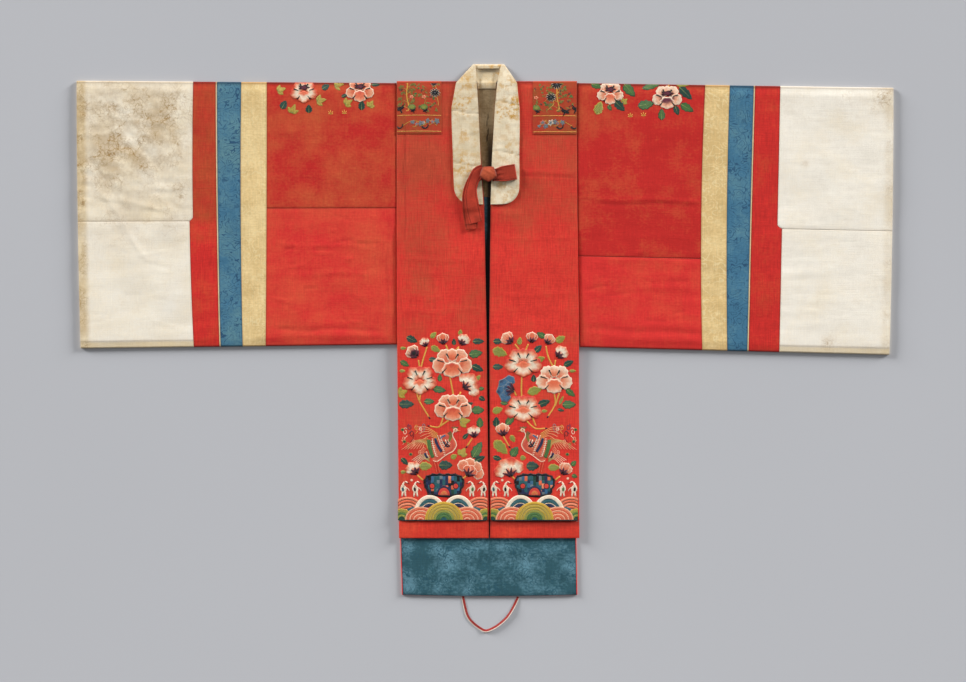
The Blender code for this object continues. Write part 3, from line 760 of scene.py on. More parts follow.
# %% Back and linings
def flat_panel(node, low, high, inset, level, wall, finish, lift, seed, sag=0.003):
    columns, rows = (160 if "lining" in node else 56), max(4, round((high - low) / 0.007))

    def shape(column, row):
        y = low + (high - low) * row / rows
        left, right = row_value(BACK_ROWS, y, "right_side") + inset, row_value(BACK_ROWS, y, "left_side") - inset
        across = column / columns
        x = left + (right - left) * across
        y = y - sag * (1 - (2 * across - 1) ** 2) * smooth_step(low + 0.12 - y, 0, 0.12)
        rim = smooth_step(np.minimum(x - left, right - x), 0, 0.01) * smooth_step(y - low, 0, 0.01)
        height = lift * rim * (0.5 + 0.5 * waves(x, y, seed, 0.05, (3.5, 0.9), 14))
        height = np.maximum(height, 0) * (1 + 2.5 * smooth_step(HEM_LOW - 0.014 - y, 0, 0.02))
        # painted shade along the lining's sides, beside the back
        dust_and_shade = 0.55 * np.exp(-np.minimum(x - left, right - x) / 0.002) * (inset > 0.001)
        fade = 0.3 + 0.3 * waves(x, y, seed + 1, 0.1)
        slit_left, slit_right = row_value(BODY_ROWS, y, "right_opening"), row_value(BODY_ROWS, y, "left_opening")
        beside = (x - slit_left) / np.maximum(slit_right - slit_left, 0.001)
        covered = smooth_step(y, HEM_LOW + 0.001, HEM_LOW + 0.007)
        # painted shadow of the fronts on the lining: some wherever they cover it, more towards the slit's far side and
        # lower down
        if node == "back_lining":
            shadow = 0.42 + 0.95 * smooth_step(beside, 0.38, 0.60) + 0.7 * smooth_step(-y, -0.24, -0.16)
            dust_and_shade = dust_and_shade + covered * shadow
        if node == "back_lining_yoke":
            # a dark line painted into the crease down the middle of the neck lining: painted shade
            middle = bell(x - 0.0055 - 0.0014 * np.sin(y * 190), 0.0009)
            dust_and_shade = dust_and_shade + 0.8 * middle * smooth_step(y, 0.405, 0.42) * (1 - smooth_step(y, 0.47, 0.48))
            # painted shadow of the fronts on the far side of the slit
            dust_and_shade = dust_and_shade + 0.95 * smooth_step(beside, 0.34, 0.70) * (1 - smooth_step(y, 0.38, 0.48))
            fade = 0.30 + 0.55 * smooth_step(y, 0.40, 0.50)
        return laid(x, y, level + height, x, y, fade, 0.35 * spots(x, y, [NECK_SPOT]), dust_and_shade)

    obj = cloth(node, columns, rows, shape, wall, finish)
    stand_for(obj, node)


SAG = 0.0030  # the back hem is this much lower in its middle
BACK_HEM = -0.5841 + SAG
HEM_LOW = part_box("front_hem_left")[0][1]
YOKE_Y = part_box("back_lining_yoke")[0][1]
LINING_INSET = 0.0020
NECK_SPOT = (0.0, 0.5, 0.03, 1)
flat_panel("back", BACK_HEM, SHOULDER_Y, SEAM, BACK_WALL, BACK_WALL, "sleeve_bright", 0.0, 41)
flat_panel("back_lining", BACK_HEM + 0.0003, YOKE_Y - SEAM, LINING_INSET, LINING_LEVEL, LINING_WALL,
           "blue_lining", 0.0003, 43)
flat_panel("back_lining_yoke", YOKE_Y, SHOULDER_Y, LINING_INSET, LINING_LEVEL, LINING_WALL,
           "undyed_lining", 0.0002, 47, sag=0.0)

# %% The two fronts and their hems
ROLL_Y = SHOULDER_Y + 0.0006
ROLL = FRONT_LEVEL / 2


def front_panel(node, side, path, seam_y, finish):
    """A front from its path of (y, z, height above which the relief adds)."""
    ys, zs, on_top = np.array(path).T
    columns = 50
    arcs = so_far(np.hypot(np.diff(ys), np.diff(zs)))

    def shape(column, row):
        y = ys[row]
        opening = row_value(BODY_ROWS, y, f"{side}_opening")
        armhole = row_value(BODY_ROWS, y, f"{side}_side")
        gap = SEAM / 2
        left, right = (armhole + gap, opening) if side == "right" else (opening, armhole - gap)
        x = left + (right - left) * column / columns
        top = on_top[row]
        height = (front_height(side, x, y) - FRONT_LEVEL) * top
        from_opening = abs(x - opening)
        edges = bell(abs(x - armhole), 0.0024) * smooth_step(y, 0.2, 0.24)
        edges = edges + bell(y - seam_y, 0.0024)
        height = np.maximum(height - 0.0006 * edges * top, -0.0002)
        fade = 0.08 + 0.72 * smooth_step(y, 0.12, 0.40) + 0.24 * waves(x, y, 51, 0.16)
        fade = fade + (0.12 if side == "right" else -0.08)
        # painted shade, with some dust: darker in crease valleys, over the shoulder fold and along the opening's edge,
        # and darker along the hem seam
        dust_and_shade = 3.0e2 * np.maximum(-creased(x, y, BODY_CREASES[side], 0.8), 0) * top
        dust_and_shade = dust_and_shade + 0.75 * np.exp(-np.maximum(SHOULDER_Y - y, 0) / 0.0025)
        dust_and_shade = dust_and_shade + 0.55 * np.exp(-from_opening / 0.0016) + 0.5 * np.exp(-abs(y - seam_y) / 0.0010)
        # painted shade across the top of the wearer's left hem, under the front's lower edge
        if node == "front_hem_left":
            dust_and_shade = dust_and_shade + 0.5 * smooth_step(y, HEM_TOP - 0.017 + 0.003 * np.sin(x * 70), HEM_TOP - 0.006)
        return laid(x, y, zs[row] + height, x, arcs[row], fade, 0.0, dust_and_shade)

    obj = cloth(node, columns, len(path) - 1, shape, WALL, finish)
    stand_for(obj, node)


HEM_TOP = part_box("front_hem_left")[1][1]
flat_ys = np.linspace(HEM_TOP + SEAM, ROLL_Y, 242)
turns = np.radians(np.linspace(90, -90, 13)[1:])
over = [(ROLL_Y + ROLL * math.cos(t), ROLL * (1 + math.sin(t)), 0.0) for t in turns]
FRONT_PATH = [(y, FRONT_LEVEL, 1.0) for y in flat_ys] + over
HEM_PATH = [(y, FRONT_LEVEL, 1.0) for y in np.linspace(HEM_LOW, HEM_TOP, 12)]
for side in ("left", "right"):
    front_panel(f"front_{side}", side, FRONT_PATH, HEM_TOP + SEAM, "front")
    front_panel(f"front_hem_{side}", side, HEM_PATH, HEM_TOP, "hem")

# %% [markdown]
# The shoulder patches are older embroidery, cut from another robe. Each is a thin square that lies on the front,
# so its points are the front's own height moved up.

# %% Shoulder patches
PATCH_WALL = 0.0005


def patch_height(side, x, y):
    (x_low, y_low, _), (x_high, _, _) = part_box(f"shoulder_patch_{side}")
    edge = np.maximum(np.minimum(np.minimum(x - x_low, x_high - x), y - y_low), 0)
    return front_height(side, x, y) + SEAM + PATCH_WALL - (SEAM - 0.00008) * bell(edge, 0.003)


for side in ("left", "right"):
    node = f"shoulder_patch_{side}"
    (x_low, y_low, _), (x_high, y_high, _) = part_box(node)
    flat_rows, columns = np.linspace(y_low, ROLL_Y, 34), 30
    turns = np.radians(np.linspace(90, 38, 6)[1:])
    ys = np.concatenate([flat_rows, ROLL_Y + (ROLL + SEAM + PATCH_WALL) * np.cos(turns)])
    zs = np.concatenate([0 * flat_rows, ROLL * (np.sin(turns) - 1) + (SEAM + PATCH_WALL) * (np.sin(turns) - 1)])

    def shape(column, row):
        x, y = x_low + (x_high - x_low) * column / columns, ys[row]
        height = patch_height(side, x, np.minimum(y, ROLL_Y)) + zs[row]
        edge = np.minimum(np.minimum(x - x_low, x_high - x), y - y_low)
        # the third tone is painted shade along the patch's edges
        return laid(x, y, height, x, y, 0.25 + 0.3 * waves(x, y, 61, 0.05), 0.0, 0.22 * np.exp(-edge / 0.0012))

    patch = cloth(node, columns, len(ys) - 1, shape, PATCH_WALL, "patch", soft_edge=0.0002)
    stand_for(patch, node)

# %% [markdown]
# ## The collar
# A band of white silk runs down each front from the back of the neck and ends in a round corner. It is quilted
# over paper, so it is a soft cushion in section, sewn across in two places and badly stained. Behind the neck
# the band stands up past the shoulder fold, and its inside shows there with a hem turned over along its top.

# %% Collar bands
CollarRow = namedtuple("CollarRow", "y outer inner")
COLLAR_ROWS = {
    "left": [
        CollarRow(0.5841, 0.0433, 0.0355), CollarRow(0.5440, 0.0700, 0.0268), CollarRow(0.4900, 0.0762, 0.0218),
        CollarRow(0.3817, 0.0756, 0.0154), CollarRow(0.2772, 0.0750, 0.0121),
    ],
    "right": [
        CollarRow(0.5841, 0.0273, 0.0215), CollarRow(0.5440, 0.0634, 0.0180), CollarRow(0.4900, 0.0739, 0.0147),
        CollarRow(0.3817, 0.0708, 0.0099), CollarRow(0.2772, 0.0665, 0.0040),
    ],
}
COLLAR_SEAMS = {"left": [0.3905, 0.5000], "right": [0.4807, 0.3663]}
COLLAR_STAINS = {
    "left": [(0.052, 0.478, 0.022, 0.9), (0.066, 0.500, 0.016, 0.8), (0.030, 0.470, 0.014, 0.6),
             (0.040, 0.330, 0.018, 0.5), (0.055, 0.290, 0.020, 0.4), (0.050, 0.395, 0.020, 0.4),
             (0.050, 0.540, 0.020, 0.5)],
    "right": [(-0.060, 0.500, 0.016, 0.8), (-0.040, 0.505, 0.013, 0.7), (-0.050, 0.485, 0.015, 0.6),
              (-0.058, 0.365, 0.020, 0.7), (-0.036, 0.360, 0.018, 0.5), (-0.060, 0.300, 0.020, 0.5),
              (-0.042, 0.430, 0.020, 0.35), (-0.040, 0.545, 0.020, 0.6)],
}
COLLAR_CORNER, COLLAR_DROP, COLLAR_TOP_Y = 0.036, 0.0038, 0.5841
COLLAR_WALL = 0.0016


def collar_swell(side, x, y, share):
    """The quilted height of a collar band above its flat top."""
    crown = 1 - np.abs(2 * share - 1) ** 5
    height = 0.0010 * crown + 0.00018 * waves(x, y, 71, 0.03, (1.6, 0.8), 14)
    height += 0.00008 * waves(x, y, 72, 0.012, (1.5, 0.8), 14)
    for seam in COLLAR_SEAMS[side]:
        height -= 0.0007 * bell(y - seam - 0.004 * np.sin(x * 60), 0.0018)
    return np.maximum(height, -0.0001)


for side, sign in (("left", 1), ("right", -1)):
    rows = COLLAR_ROWS[side]
    end = rows[-1].y
    corner = end + COLLAR_CORNER * (1 - np.cos(np.linspace(0, math.pi / 2, 16)))
    heights = np.concatenate([corner, np.linspace(corner[-1], COLLAR_TOP_Y, 90)[1:]])
    columns = 20

    def shape(column, row):
        y = heights[row]
        outer, inner = row_value(rows, y, "outer"), row_value(rows, y, "inner")
        wobble = 0.0003 * np.sin(y * 60) * smooth_step(y, end, end + 0.05)
        down = np.maximum(0.0, COLLAR_CORNER - (y - end))
        outer = outer + wobble - (COLLAR_CORNER - np.sqrt(np.maximum(COLLAR_CORNER**2 - down**2, 0.0)))
        share = column / columns
        x = sign * (inner + (outer - inner) * (share if sign > 0 else 1 - share))
        start = SHOULDER_Y + SEAM
        slope = np.maximum(0.0, (y - start) / (COLLAR_TOP_Y - start))
        z = COLLAR_LEVEL - COLLAR_DROP * slope + collar_swell(side, x, y, share)
        edge = np.minimum(share, 1 - share) * (outer - inner)
        seams = sum(bell(y - s - 0.004 * np.sin(x * 60), 0.0011) for s in COLLAR_SEAMS[side])
        # painted shade along the edges and in the quilting seams, with faint blotches of dust
        dust_and_shade = 0.25 * np.exp(-edge / 0.002) + 0.42 * seams + 0.08 * smooth_step(waves(x, y, 73, 0.02), 0.4, 1.2)
        stain = 0.28 + spots(x, y, COLLAR_STAINS[side])
        fade = 0.12 + 0.3 * waves(x, y, 74, 0.05) + (0.42 if side == "right" else 0.0)
        return laid(x, y, z, x, y, fade, stain, dust_and_shade)

    band = cloth(f"collar_{side}", columns, len(heights) - 1, shape, COLLAR_WALL, "collar", soft_edge=0.0006)
    stand_for(band, f"collar_{side}")

# %% Inside of the collar at the back of the neck
NeckRow = namedtuple("NeckRow", "y z right_side left_side")
NECK_LEVEL = LINING_LEVEL + SEAM + 0.0010
NECK_ROWS = [
    NeckRow(0.5313, NECK_LEVEL, -0.0160, 0.0240), NeckRow(SHOULDER_Y + 0.0005, NECK_LEVEL, -0.0168, 0.0245),
    NeckRow(SHOULDER_Y + 0.0055, 0.0034, -0.0186, 0.0276), NeckRow(0.5691, 0.0, -0.0240, 0.0390),
    NeckRow(COLLAR_TOP_Y, 0.0, -0.0265, 0.0425),
]
NECK_WALL, RIM_FOLD, RIM_DEPTH, NECK_COLUMNS = 0.0010, 0.0015, 0.0088, 24
neck_path = [(y, z) for y, z in zip(*(np.interp(np.linspace(0, 3, 22), range(4), [getattr(row, field) for row in
             NECK_ROWS[:4]]) for field in ("y", "z")))]
rim_y = COLLAR_TOP_Y - RIM_FOLD
turns = np.radians(np.linspace(-90, 90, 9))
neck_path += [(rim_y + RIM_FOLD * math.cos(t), RIM_FOLD * (1 + math.sin(t))) for t in turns]
neck_path += [(y, 2 * RIM_FOLD) for y in np.linspace(rim_y, COLLAR_TOP_Y - RIM_DEPTH, 6)[1:]]
neck_ys, neck_zs = np.array(neck_path).T
neck_arc = so_far(np.hypot(np.diff(neck_ys), np.diff(neck_zs)))


def neck_shape(column, row):
    y, z = neck_ys[row], neck_zs[row]
    low, high = row_value(NECK_ROWS, y, "right_side"), row_value(NECK_ROWS, y, "left_side")
    x = high + (low - high) * column / NECK_COLUMNS
    swell = 0.0004 * (1 + waves(x, y + z, 81, 0.018, (0.8, 1.4), 12)) * (z > 0.0029)
    stain = 0.35 + 0.5 * smooth_step(waves(x, y, 82, 0.03), 0.0, 0.8)
    # painted shade at the edge of the turned hem and lower down, under the collar
    dust_and_shade = 0.55 * bell(neck_arc[row] - neck_arc[-1], 0.0012) + 0.35 * smooth_step(0.545 - y, 0, 0.012)
    return laid(x, y, z + swell, x, neck_arc[row], 0.8, stain, dust_and_shade)


neck = cloth("collar_back", NECK_COLUMNS, len(neck_path) - 1, neck_shape, NECK_WALL, "collar", soft_edge=0.0002)
stand_for(neck, "collar_back")

# %% [markdown]
# ## The tie
# Two ribbons of brick red silk close the collar with half a bow: a wrapped knot, one loop that points to the
# wearer's left, and two tails that hang over each other down the right front. A ribbon is a strip swept along a
# smooth curve through a few stations, so its width can change where it is pulled together at the knot.

# %% Ribbons along a curve
TAIL_UNDER = [  # x, y and width
    (-0.0040, 0.3470, 0.030), (-0.0160, 0.3420, 0.029), (-0.0262, 0.3290, 0.025), (-0.0335, 0.3110, 0.026),
    (-0.0360, 0.2940, 0.028), (-0.0350, 0.2750, 0.030), (-0.0325, 0.2500, 0.030),
    (-0.0285, 0.2222, 0.029),
]
TAIL_OVER = [
    (-0.0030, 0.3500, 0.030), (-0.0150, 0.3455, 0.028), (-0.0231, 0.3333, 0.025), (-0.0293, 0.3148, 0.024),
    (-0.0312, 0.2974, 0.028), (-0.0290, 0.2805, 0.030), (-0.0253, 0.2598, 0.031),
    (-0.0196, 0.2365, 0.029),
]
RIBBON_WALL, RIBBON_COLUMNS, TAIL_STEPS = 0.0012, 34, 90
STITCH_IN = 0.0035  # from a ribbon's edge to its line of stitches


def curve_through(points, count):
    """count points on a smooth curve through the given ones."""
    points = np.array(points, float)
    made, last = [], len(points) - 1
    for position in np.linspace(0, last, count):
        index = min(int(position), last - 1)
        t = position - index
        p, q, r, s = (points[min(max(index + k, 0), last)] for k in (-1, 0, 1, 2))
        made.append(0.5 * (2 * q + (r - p) * t + (2 * p - 5 * q + 4 * r - s) * t**2 + (3 * q - p - 3 * r + s) * t**3))
    return np.array(made)


def to_the_right(path):
    """Unit vectors to the right of a flat path, at each of its points."""
    along = np.gradient(path[:, :2], axis=0)
    along /= np.linalg.norm(along, axis=1)[:, None]
    return np.stack([along[:, 1], -along[:, 0]], axis=1)


def tail(node, stations, layer, seed):
    path = curve_through(stations, TAIL_STEPS)
    right = to_the_right(path)
    arc = so_far(np.linalg.norm(np.diff(path[:, :2], axis=0), axis=1))

    def shape(column, row):
        offset = path[row, 2] * (column / RIBBON_COLUMNS - 0.5)
        x, y = path[row, 0] + right[row, 0] * offset, path[row, 1] + right[row, 1] * offset
        down = smooth_step(y, 0.2560, 0.2700)
        level = FRONT_LEVEL + 0.0016 + (COLLAR_LEVEL + 0.0012 - FRONT_LEVEL - 0.0016) * down
        z = level + (layer + 1) * (SEAM + RIBBON_WALL) + layer * 0.0004
        z = z + 0.0007 * (1 + waves(x, y, 91, 0.035, (0.7, 1.6), 9)) * smooth_step(arc[row], 0.0, 0.03)
        edge = path[row, 2] / 2 - abs(offset)
        z = z - 0.0003 * bell(edge - STITCH_IN, 0.0008)
        # painted shade along the stitch lines and near the knot, where the tails go under it
        line = bell(edge - STITCH_IN, 0.0007) + bell(arc[-1] - arc[row] - 0.011, 0.0007)
        dust_and_shade = 0.75 * line + 0.45 * np.exp(-arc[row] / 0.012)
        fade = 0.70 + 0.30 * waves(x, y, seed + 1, 0.03)
        return laid(x, y, z, offset, arc[row], fade, 0.0, dust_and_shade)

    obj = cloth(node, RIBBON_COLUMNS, len(path) - 1, shape, RIBBON_WALL, "tie", soft_edge=0.0003)
    stand_for(obj, node)


tail("tie_tail_under", TAIL_UNDER, 0, 91)
tail("tie_tail_over", TAIL_OVER, 1, 93)

# %% The loop of the half bow
BOW_START, BOW_END, BOW_WIDTH = np.array([0.0150, 0.3398]), np.array([0.0680, 0.3483]), 0.0340
bow_run = float(np.linalg.norm(BOW_END - BOW_START))
bow_way = (BOW_END - BOW_START) / bow_run
BOW_FOLD = 0.0023
turns = np.radians(np.linspace(-90, 90, 11))
bow_path = [(run, 0.0) for run in np.linspace(0.0, bow_run - BOW_FOLD, 18)[:-1]]
bow_path += [(bow_run - BOW_FOLD * (1 - math.cos(t)), BOW_FOLD * (1 + math.sin(t))) for t in turns]
bow_path += [(run, 2 * BOW_FOLD) for run in np.linspace(bow_run - BOW_FOLD, 0.0, 18)[1:]]
bow_runs, bow_rises = np.array(bow_path).T
bow_arc = so_far(np.hypot(np.diff(bow_runs), np.diff(bow_rises)))


def bow_shape(column, row):
    run, rise = bow_runs[row], bow_rises[row]
    pinch = 0.72 + 0.28 * smooth_step(run, 0.0, 0.030)
    offset = BOW_WIDTH * (column / RIBBON_COLUMNS - 0.5) * pinch
    x = BOW_START[0] + bow_way[0] * run - bow_way[1] * offset
    y = BOW_START[1] + bow_way[1] * run + bow_way[0] * offset
    upper = smooth_step(rise, BOW_FOLD, 2 * BOW_FOLD)
    z = COLLAR_LEVEL + 0.0013 + rise + upper * (0.0016 * np.sin(math.pi * run / bow_run) + 0.0008)
    z = z + upper * 0.0004 * np.sin(offset / BOW_WIDTH * 22) * (1 - smooth_step(run, 0.01, 0.035))
    edge = BOW_WIDTH * pinch / 2 - abs(offset)
    # painted shade along the stitch line and near the knot
    dust_and_shade = 0.8 * bell(edge - 0.003, 0.0007) + 0.5 * np.exp(-run / 0.009)
    return laid(x, y, z, offset, bow_arc[row], 0.15, 0.0, dust_and_shade)


bow = cloth("tie_bow", RIBBON_COLUMNS, len(bow_path) - 1, bow_shape, RIBBON_WALL, "tie", soft_edge=0.0003)
stand_for(bow, "tie_bow")

# %% [markdown]
# The knot is modelled apart from the cloths: a ball pressed flat, its outline drawn out to five soft corners, and
# one fold of the wrapping ribbon raised across it.

# %% The knot
(knot_low, knot_high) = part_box("tie_knot")
knot_centre = [(low + high) / 2 for low, high in zip(knot_low, knot_high)]
knot_centre[0] -= 0.0022  # the wrap pulls it towards the tails
deselect()
bpy.ops.mesh.primitive_uv_sphere_add(segments=64, ring_count=32, radius=1.0)
knot = bpy.context.object
knot.name = knot.data.name = "cloth_tie_knot"
coords = np.empty(len(knot.data.vertices) * 3)
knot.data.vertices.foreach_get("co", coords)
coords = coords.reshape(-1, 3)
round_angle = np.arctan2(coords[:, 1], coords[:, 0])
fifth = 2 * math.pi / 5
from_corner = np.mod(round_angle + math.pi / 2, fifth) - fifth / 2
corners = 0.30 + 0.74 * math.cos(fifth / 2) / np.cos(from_corner)
flat_radius = np.hypot(coords[:, 0], coords[:, 1])
squared = np.sign(coords[:, 2]) * np.abs(coords[:, 2]) ** 0.75
wrap = 0.10 * bell(coords[:, 0] * 0.5 + coords[:, 1] - 0.25, 0.16) * (coords[:, 2] > 0)
wrap = wrap + 0.05 * np.sin(coords[:, 0] * 9 + coords[:, 1] * 4) * (coords[:, 2] > 0)
coords[:, 0] *= corners * 0.0195
coords[:, 1] *= corners * 0.0180
coords[:, 2] = (squared + wrap * (1 - flat_radius**2)) * 0.0046
knot.data.vertices.foreach_set("co", (coords + knot_centre).astype(np.float32).ravel())
knot.data.uv_layers[0].name = "cloth"
corner_points = np.empty(len(knot.data.loops), np.int32)
knot.data.loops.foreach_get("vertex_index", corner_points)
knot.data.uv_layers[0].data.foreach_set("uv", coords[corner_points, :2].astype(np.float32).ravel())
# painted light and shade: the lighter, faded dye in the middle and a dark rim where the knot rounds away
paint(knot.data, "tone", tones(flat_radius, 0.75 - 0.2 * flat_radius, 0.0, 1.1 * flat_radius**8))
knot.data.update()
select_only(knot)
bpy.ops.object.shade_smooth()
knot.data.materials.append(SILKS["knot"])
stand_for(knot, "tie_knot")

# %% [markdown]
# ## The hanging loop
# A narrow red ribbon with white edges is sewn under the back hem and lies on the floor in an open loop. It turns
# on its edge over one half, which a tilt along its route gives.

# %% The ribbon loop
LOOP_ROUTE = [
    (-0.0493, -0.5848), (-0.0442, -0.6092), (-0.0387, -0.6274), (-0.0288, -0.6413), (-0.0121, -0.6545),
    (0.0020, -0.6604), (0.0202, -0.6534), (0.0356, -0.6428), (0.0497, -0.6290), (0.0623, -0.6092), (0.0735, -0.5861),
]
LOOP_WIDTH, LOOP_WALL, LOOP_TILT = 0.0066, 0.0008, math.radians(28)
LOOP_COLUMNS, LOOP_ROWS = 6, 119
loop_path = curve_through(LOOP_ROUTE, LOOP_ROWS + 1)
loop_right = to_the_right(loop_path)
loop_arc = so_far(np.linalg.norm(np.diff(loop_path, axis=0), axis=1))


def loop_shape(column, row):
    share = row / LOOP_ROWS
    tilt = LOOP_TILT * smooth_step(share, 0.35, 0.6) * (1 - smooth_step(share, 0.85, 1.0))
    offset = LOOP_WIDTH * (column / LOOP_COLUMNS - 0.5)
    x = loop_path[row, 0] + loop_right[row, 0] * np.cos(tilt) * offset
    y = loop_path[row, 1] + loop_right[row, 1] * np.cos(tilt) * offset
    z = LOOP_WALL + 0.0002 + np.sin(tilt) * (offset + LOOP_WIDTH / 2)
    stripe = (offset > LOOP_WIDTH * 0.20).astype(float)
    return laid(x, y, z, offset, loop_arc[row], stripe, 0.0, 0.0)


loop_silk = silk("loop_ribbon", (146, 44, 40), (206, 194, 180), (90, 40, 40), ribs=0.08, mottle=0.1)
loop = cloth("hanging_loop", LOOP_COLUMNS, LOOP_ROWS, loop_shape, LOOP_WALL, loop_silk, soft_edge=0.0002)
stand_for(loop, "hanging_loop")
print("loop", round(float(loop_arc[-1]), 4), "m")

# %% [markdown]
# ## Embroidery in silk thread
# The fronts carry peonies over a pair of phoenixes, a rock, cranes and waves, and peony sprays hang over the
# shoulders. Satin stitch is a little cushion: thread laid side by side, so it stands up from the ground cloth with
# a round edge and shines along its length. Each patch of stitches is a low dome over its outline, closed below,
# and each stem is a low ridge. Their colours are stored at the points, which shades a petal from rim to heart, and
# a UV map across the threads gives the material its lines.

# %% Thread colours and the thread material
THREADS = {
    "cream": (244, 214, 186), "white": (244, 224, 198), "blush": (240, 166, 130), "peach": (234, 138, 101),
    "coral": (224, 105, 69), "deep_coral": (206, 70, 52), "plum": (98, 32, 52), "dark": (20, 12, 16),
    "moss": (122, 112, 48), "ochre": (206, 164, 56),
    "gold": (220, 160, 66), "mustard": (184, 156, 60), "olive": (142, 144, 60), "green": (74, 112, 56),
    "dark_green": (28, 66, 54), "teal": (38, 90, 96), "blue": (58, 102, 136), "navy": (32, 42, 76),
    "grey_blue": (112, 122, 126), "vein": (158, 168, 92), "ground": (212, 62, 50), "brown": (112, 62, 46),
}
LINEAR = {name: np.array(dye(*colour)[:3]) for name, colour in THREADS.items()}
thread = Recipe("silk_thread")
STRAND = 0.0008  # metres from one strand to the next
stitch_uv = thread.add("UVMap", uv_map="stitch")
across, _, _ = thread.parts("SeparateXYZ", stitch_uv)
strands = thread.math("SINE", thread.math("MULTIPLY", across, 2 * math.pi / STRAND))
uneven = thread.noise(stitch_uv, 1.0, 2.0, (900, 60, 1))
light = thread.math("MULTIPLY_ADD", strands, 0.06, thread.math("MULTIPLY_ADD", uneven, 0.24, 0.76))
grey = thread.add("CombineXYZ", light, light, light)
thread.surface(Base_Color=thread.mix(1.0, thread.add("Attribute", attribute_name="thread"), grey, "MULTIPLY"),
               Roughness=0.48, Specular_IOR_Level=0.20, Sheen_Weight=0.02,
               Normal=thread.add("Bump", Strength=0.5, Distance=0.0004, Height=strands))
print(len(THREADS), "thread colours")

# %% Patches and ridges of stitches
MM = 0.001
LAYER = 0.055  # each further layer of stitches stands this much higher, in mm
PRESSED = 0.42  # old stitches are pressed flatter than they were sewn
STITCH_STEP, MOST_STEPS = 2.6, 40  # of a ridge: mm along its path, and how many at most
RINGS = ((1.0, -0.15), (0.94, 0.85), (0.74, 0.97), (0.38, 1.0))  # share of the outline, share of the rise


